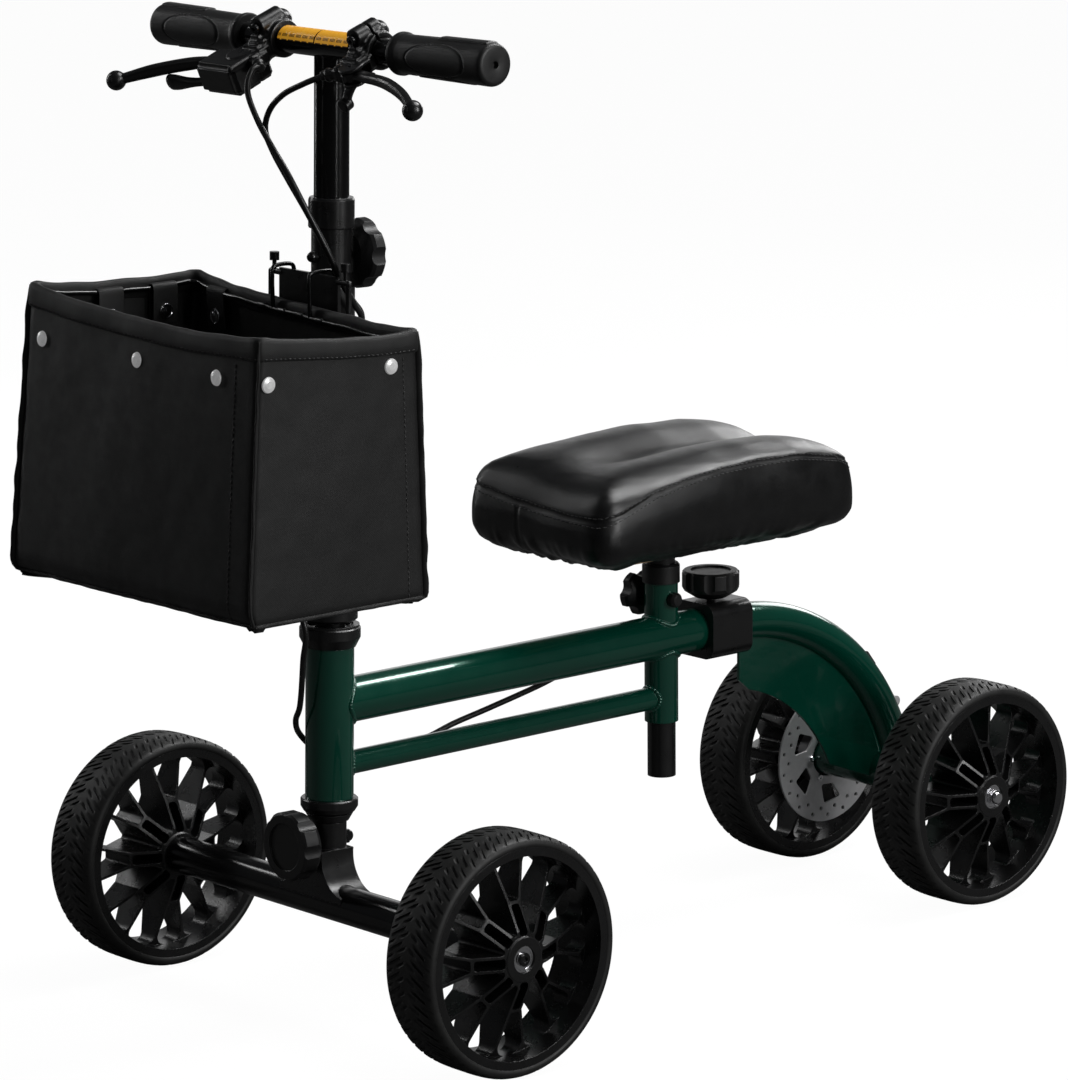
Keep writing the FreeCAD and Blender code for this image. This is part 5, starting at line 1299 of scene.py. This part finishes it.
# a press stud's outline, in millimetres: (radius, height)
STUD_OUTLINE = ((6.2, -0.6), (6.5, 0.2), (6.3, 0.9), (5.7, 1.25), (5.1, 1.0), (4.6, 0.85), (3.4, 1.25),
                (1.8, 1.6), (0.3, 1.7))


def wire_tabs():
    """Cloth tabs folded over the wire inside the bag, each with its press stud."""
    path = bag_row(1.0, HOOP_INSET, HOOP_STEPS)
    loop = bag_loop(1.0, HOOP_INSET, HOOP_STEPS)
    for k, (wall, along) in enumerate(((RIGHT_WALL, 0.16), (RIGHT_WALL, 0.55), (REAR_WALL, 0.88))):
        at = min((i for i, item in enumerate(loop) if item[2] == wall), key=lambda i: abs(loop[i][3] - along))
        spot = path[at] - UP * HOOP_DROP
        inward = -loop[at][1]
        side = inward.cross(UP)
        outline = [spot + (inward * i + UP * u) * MM for i, u in TAB_FOLD]
        rings = sweep_rings(curve_points(outline, 6), TAB_HALF_WIDTH, TAB_HALF_THICK, side, 24, 5.0)
        tab = new_object("wire_tab_%d" % k, rings_mesh("tab", rings), CLOTH, 50.0)
        settle(tab, "cloth", "basket")
        stud = new_object("tab_stud_%d" % k, stud_mesh(spot + inward * 0.0036 - UP * 0.020, inward), CHROME)
        settle(stud, "chrome", "basket")


def stud_mesh(at, out):
    """A press stud's cap: a rolled rim round a shallow dome."""
    side = out.cross(UP).normalized()
    rise = side.cross(out).normalized()
    rings = [round_ring(at + out * h * MM, side, rise, r * MM, r * MM, 40) for r, h in STUD_OUTLINE]
    return rings_mesh("stud", rings)


# ---------------------------------------------------------------- cables and welds
CABLE_R = 0.0025
JOINER_HALF_DEPTH = 0.0042
CABLE_HINT = Vector((0.3, 1.0, 0.2)).normalized()
# the cables' ways, in millimetres
LEFT_WAY = ((43, -296, 793.5), (36, -300, 790), (25, -305, 785), (3, -308, 775), (-15, -308, 761),
            (-24, -306, 744), (-16, -305, 727), (1, -303, 705), (22, -297, 674), (30, -286, 645),
            (31, -274, 622), (30, -262, 606), (30, -252, 590), (29, -260, 562), (22, -278, 532),
            (2, -284.5, 496), (-17, -282, 456), (-25, -278, 425), (-26.5, -277.5, 405))
RIGHT_WAY = ((-41.5, -296, 793.5), (-41, -306, 789.5), (-36, -314, 774), (-22, -315, 752),
             (-7, -313.5, 733), (10, -311, 712), (25, -303, 681), (34.5, -291, 650), (36, -278, 624),
             (35.5, -265, 604), (35, -256, 588), (34, -265, 564), (27, -282, 541), (4, -286, 508),
             (-18, -284.5, 467), (-29, -279.5, 430), (-28.5, -278.5, 405))
JOINER_WAY = ((-27.5, -278, 420), (-27.5, -278, 417), (-27.5, -277.5, 396), (-27.5, -277.5, 392))
LOWER_WAY = ((-27.5, -277.5, 396), (-25, -287, 382), (-8, -306, 366), (14, -309, 350), (20, -308, 332),
             (15, -307, 312), (8, -303, 293), (2.5, -300, 278), (-2, -298.5, 265), (-14, -293, 252),
             (-26, -280, 237), (-28, -262, 221), (-25, -235, 210), (-20, -190, 208), (-18, -150, 213),
             (-18, -118, 220.5), (-18, -78, 227.5), (-19, -20, 238), (-23, 30, 248), (-25, 74, 251))
CLAMP_WAY = ((-25, 74, 251), (-28, 124, 250), (-31, 160, 250), (-33, 186, 255), (-34, 204, 262))


def cable_mesh(corners, hint):
    """A cable housing along a smooth curve."""
    return rings_mesh("cable", sweep_rings(curve_points(corners, 8), CABLE_R, CABLE_R, hint, 16))


def crossing_cable(name, way, first, second, start, end, *stood_for):
    """A cable that runs from one body over to the next. The bodies and the heights or places it is given are
    not used.
    """
    made = new_object(name, cable_mesh(at_mm(*way), CABLE_HINT), CABLE, None)
    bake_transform(made)
    if stood_for:
        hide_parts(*stood_for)


def cables():
    """The two brake cables: from the levers down the column into one joiner, then along to the brake."""
    for name, way in (("left", LEFT_WAY), ("right", RIGHT_WAY)):
        crossing_cable(name + "_upper_cable", way, "handlebar", "steering", (0, 0, 0.790), (0, 0, 0.655),
                       "upper_brake_cables")
    joiner = sweep_rings(at_mm(*JOINER_WAY), lambda t: mix(4.6, 5.4, math.sin(math.pi * t)) * MM,
                         JOINER_HALF_DEPTH, OUTWARD, 24)
    made = new_object("cable_joiner", rings_mesh("joiner", joiner), KNOB, 50.0)
    settle(made, "black_plastic", "steering")
    crossing_cable("lower_cable", LOWER_WAY, "steering", "frame", (0, -0.306, 0.312), (0, -0.262, 0.240),
                   "lower_brake_cable")
    crossing_cable("clamp_cable", CLAMP_WAY, "frame", "rear", (0, 0.110, 0), (0, 0.204, 0))
    rear_cable()


ARCH_CENTRE = Vector((0, 0.1905, 0.057))
ARCH_BEND_R = 0.208
ARCH_TUBE_R = 0.01595
CABLE_END_DEG = 38.5
STOP_X, STOP_LIFT = -0.015, ARCH_TUBE_R + 0.0065


def by_arch(degrees, x, lift):
    """A point beside the arch tube: an angle above straight back, and a height past its centre line."""
    angle = math.radians(degrees)
    reach = ARCH_BEND_R + lift
    return ARCH_CENTRE + Vector((x, reach * math.cos(angle), reach * math.sin(angle)))


def rear_cable():
    """The last stretch of cable, down the right side of the arch tube to the brake arm's stop."""
    stop = by_arch(CABLE_END_DEG, STOP_X, STOP_LIFT)
    way = [mm(*CLAMP_WAY[-1]), by_arch(78, -0.0215, 0.001), by_arch(66, -0.0205, 0.002),
           by_arch(54, -0.0205, 0.007), by_arch(46, -0.019, 0.016), stop]
    skin = cable_mesh(way, OUTWARD)
    ferrule = drum_mesh(by_arch(CABLE_END_DEG + 1.5, STOP_X, STOP_LIFT),
                        by_arch(CABLE_END_DEG - 2, STOP_X, STOP_LIFT), 0.0045)
    clip = drum_mesh(by_arch(CABLE_END_DEG, STOP_X, ARCH_TUBE_R - 0.003), stop, 0.0025)
    made = new_object("rear_cable", joined_mesh([skin, ferrule, clip]), CABLE)
    settle(made, "rubber", "rear", "rear_brake_cable")


WELD_R = 0.0022
WELD_RIPPLE = 0.0024


def weld_bead(name, line):
    """A run of weld along a closed line, with the ripples of its passes."""
    length = sum((b - a).length for a, b in zip(line, line[1:] + line[:1]))
    ripples = round(length / WELD_RIPPLE)
    rings = []
    total = len(line)
    for i, spot in enumerate(line):
        along = (line[(i + 1) % total] - line[i - 1]).normalized()
        side = along.orthogonal().normalized()
        rise = along.cross(side)
        swell = WELD_R * (1 + 0.10 * math.sin(2 * math.pi * ripples * i / total))
        rings.append(round_ring(spot, side, rise, swell, swell, 12))
    made = new_object(name, rings_mesh(name, rings, closed_run=True), GREEN, None)
    return settle(made, "frame_paint", "frame")


TEE_STEPS = 240


def tee_line(radius, main_radius, centre, way, upright=UP):
    """The line where a round tube, running off along way, meets the side of a larger upright tube."""
    side = way.cross(upright).normalized()
    line = []
    for k in range(TEE_STEPS):
        a = 2 * math.pi * k / TEE_STEPS
        across = radius * math.cos(a)
        reach = math.sqrt(max(0.0, main_radius ** 2 - across ** 2))
        line.append(centre + side * across + upright * radius * math.sin(a) + way * reach)
    return line


MAIN_R, LOWER_R, SEAT_R, HEAD_R = 0.01905, 0.010, 0.01475, 0.0202    # outside radii of the frame's tubes
MAIN_Z, LOWER_Z, SEAT_Y = 0.265, 0.2113, 0.104


def welds():
    """The weld beads where the frame's tubes meet."""
    forward, back = Vector((0, -1, 0)), Vector((0, 1, 0))
    lean = Vector((0, math.sin(RAKE), math.cos(RAKE)))
    for name, radius, z in (("main", MAIN_R, MAIN_Z), ("lower", LOWER_R, LOWER_Z)):
        head = Vector((0, COLUMN_Y + (z - AXLE_HEIGHT) * math.tan(RAKE), z))
        weld_bead(name + "_tube_head_weld", tee_line(radius, HEAD_R, head, back, lean))
    weld_bead("lower_tube_seat_weld", tee_line(LOWER_R, SEAT_R, Vector((0, SEAT_Y, LOWER_Z)), forward))
    for name, sign in (("top", 1), ("under", -1)):
        line = tee_line(SEAT_R, MAIN_R, Vector((0, SEAT_Y, MAIN_Z)), UP * sign, back)
        weld_bead("seat_tube_%s_weld" % name, line)


# ---------------------------------------------------------------- stage
CAMERA_PLACE = Vector((3.4546, -3.0539, 1.3117))
CAMERA_TARGET = Vector((0.0, -0.0421, 0.3712))
FOCAL_LENGTH = 183.4
ROLL_DEG = -0.47
LIGHTS_TARGET = Vector((0.0, -0.05, 0.35))
# name, place, width, height, power
LIGHTS = (
    ("side_box", (3.4, 0.9, 1.7), 0.5, 2.2, 54),
    ("near_strip", (3.3, -0.6, 1.5), 0.12, 2.4, 10),
    ("front_strip", (-0.7, -3.8, 1.6), 0.14, 2.4, 1.2),
    ("over_box", (0.45, 2.3, 3.0), 0.7, 1.1, 40),
    ("behind_wall", (-2.1, 1.9, 0.85), 2.6, 1.2, 7),
    ("far_strip", (-3.0, -1.0, 1.5), 0.22, 2.4, 13),
    ("top_box", (0.5, 1.0, 3.0), 1.8, 1.3, 38),
    ("back_box", (-1.4, 3.2, 1.8), 1.2, 1.6, 26),
)


def facing(place, target):
    """The matrix of a camera or light at one place that looks at another."""
    return Matrix.Translation(place) @ (target - place).to_track_quat("-Z", "Y").to_matrix().to_4x4()


def camera():
    """A long lens, from in front and to the rider's left."""
    lens = bpy.data.cameras.new("camera")
    lens.lens, lens.sensor_width, lens.sensor_fit = FOCAL_LENGTH, 36.0, "AUTO"
    lens.clip_start, lens.clip_end = 0.1, 60.0
    made = bpy.data.objects.new("camera", lens)
    bpy.context.scene.collection.objects.link(made)
    roll = Matrix.Rotation(math.radians(ROLL_DEG), 4, "Z")
    made.matrix_world = facing(CAMERA_PLACE, CAMERA_TARGET) @ roll
    bpy.context.scene.camera = made


def soft_light(name, place, width, height, power):
    """A soft box that lights the object but isn't seen itself."""
    lamp = bpy.data.lights.new(name, "AREA")
    lamp.shape, lamp.size, lamp.size_y, lamp.energy = "RECTANGLE", width, height, power
    made = bpy.data.objects.new(name, lamp)
    made.visible_camera = False
    bpy.context.scene.collection.objects.link(made)
    made.matrix_world = facing(Vector(place), LIGHTS_TARGET)


def pale_floor():
    """A floor that looks white to the camera and dark grey in reflections."""
    mesh = mesh_from("floor", [(-30, -30, 0), (30, -30, 0), (30, 30, 0), (-30, 30, 0)], [(0, 1, 2, 3)])
    n = Nodes("pale_floor")
    tone = n.blend(n.ramp(n.noise(1.3, 3.0), 0.3, 0.7), grey(0.050), grey(0.060))
    floor_shader = n.add("BsdfDiffuse", {"Color": tone})
    glow = n.add("Emission", {"Color": grey(1.0), "Strength": 0.97})
    both = n.add("AddShader")
    n.tree.links.new(floor_shader.outputs[0], both.inputs[0])
    n.tree.links.new(glow.outputs[0], both.inputs[1])
    dim = n.add("BsdfDiffuse", {"Color": grey(0.10)})
    seen = n.add("LightPath").outputs["Is Camera Ray"]
    choose = n.add("MixShader", {"Fac": seen})
    n.tree.links.new(dim.outputs[0], choose.inputs[1])
    n.tree.links.new(both.outputs[0], choose.inputs[2])
    n.tree.links.new(choose.outputs[0], n.output.inputs["Surface"])
    mesh.materials.append(n.material)
    floor = bpy.data.objects.new("floor", mesh)
    bpy.context.scene.collection.objects.link(floor)
    floor.location.z = -0.0004


def surround():
    """A plain surround, bright to the camera and dim in reflections."""
    world = bpy.data.worlds.new("surround")
    bpy.context.scene.world = world
    world.use_nodes = True
    tree = world.node_tree
    tree.nodes.clear()
    out = tree.nodes.new("ShaderNodeOutputWorld")
    pick = tree.nodes.new("ShaderNodeMixShader")
    bright, soft = tree.nodes.new("ShaderNodeBackground"), tree.nodes.new("ShaderNodeBackground")
    bright.inputs[0].default_value, bright.inputs[1].default_value = rgb(1, 1, 1), 1.0
    soft.inputs[0].default_value, soft.inputs[1].default_value = rgb(0.92, 0.95, 1.0), 0.05
    path = tree.nodes.new("ShaderNodeLightPath")
    tree.links.new(path.outputs["Is Camera Ray"], pick.inputs[0])
    tree.links.new(soft.outputs[0], pick.inputs[1])
    tree.links.new(bright.outputs[0], pick.inputs[2])
    tree.links.new(pick.outputs[0], out.inputs[0])


def studio():
    pale_floor()
    surround()
    for light in LIGHTS:
        soft_light(*light)
    view = bpy.context.scene.view_settings
    view.view_transform = "Standard"
    view.look = "None"


# ---------------------------------------------------------------- build
dress_nodes()
for wheel in ("front_left", "front_right", "rear_left", "rear_right"):
    tread_tyre(wheel + "_tyre", wheel + "_wheel")
for hand in (1, -1):
    grip(hand)
    lever_clamp(hand)
    brake_lever(hand)
parking_lock()
label_band("label_band_left", 0.0010, 0.0430)
label_band("label_band_right", -0.0470, -0.0010)
knee_pad()
bag = basket_bag()
basket_hem()
for corner in range(BAG_WALLS):
    corner_flap(corner)
floor_seam()
basket_stitching(bag)
basket_wire()
wire_tabs()
cables()
welds()
camera()
studio()
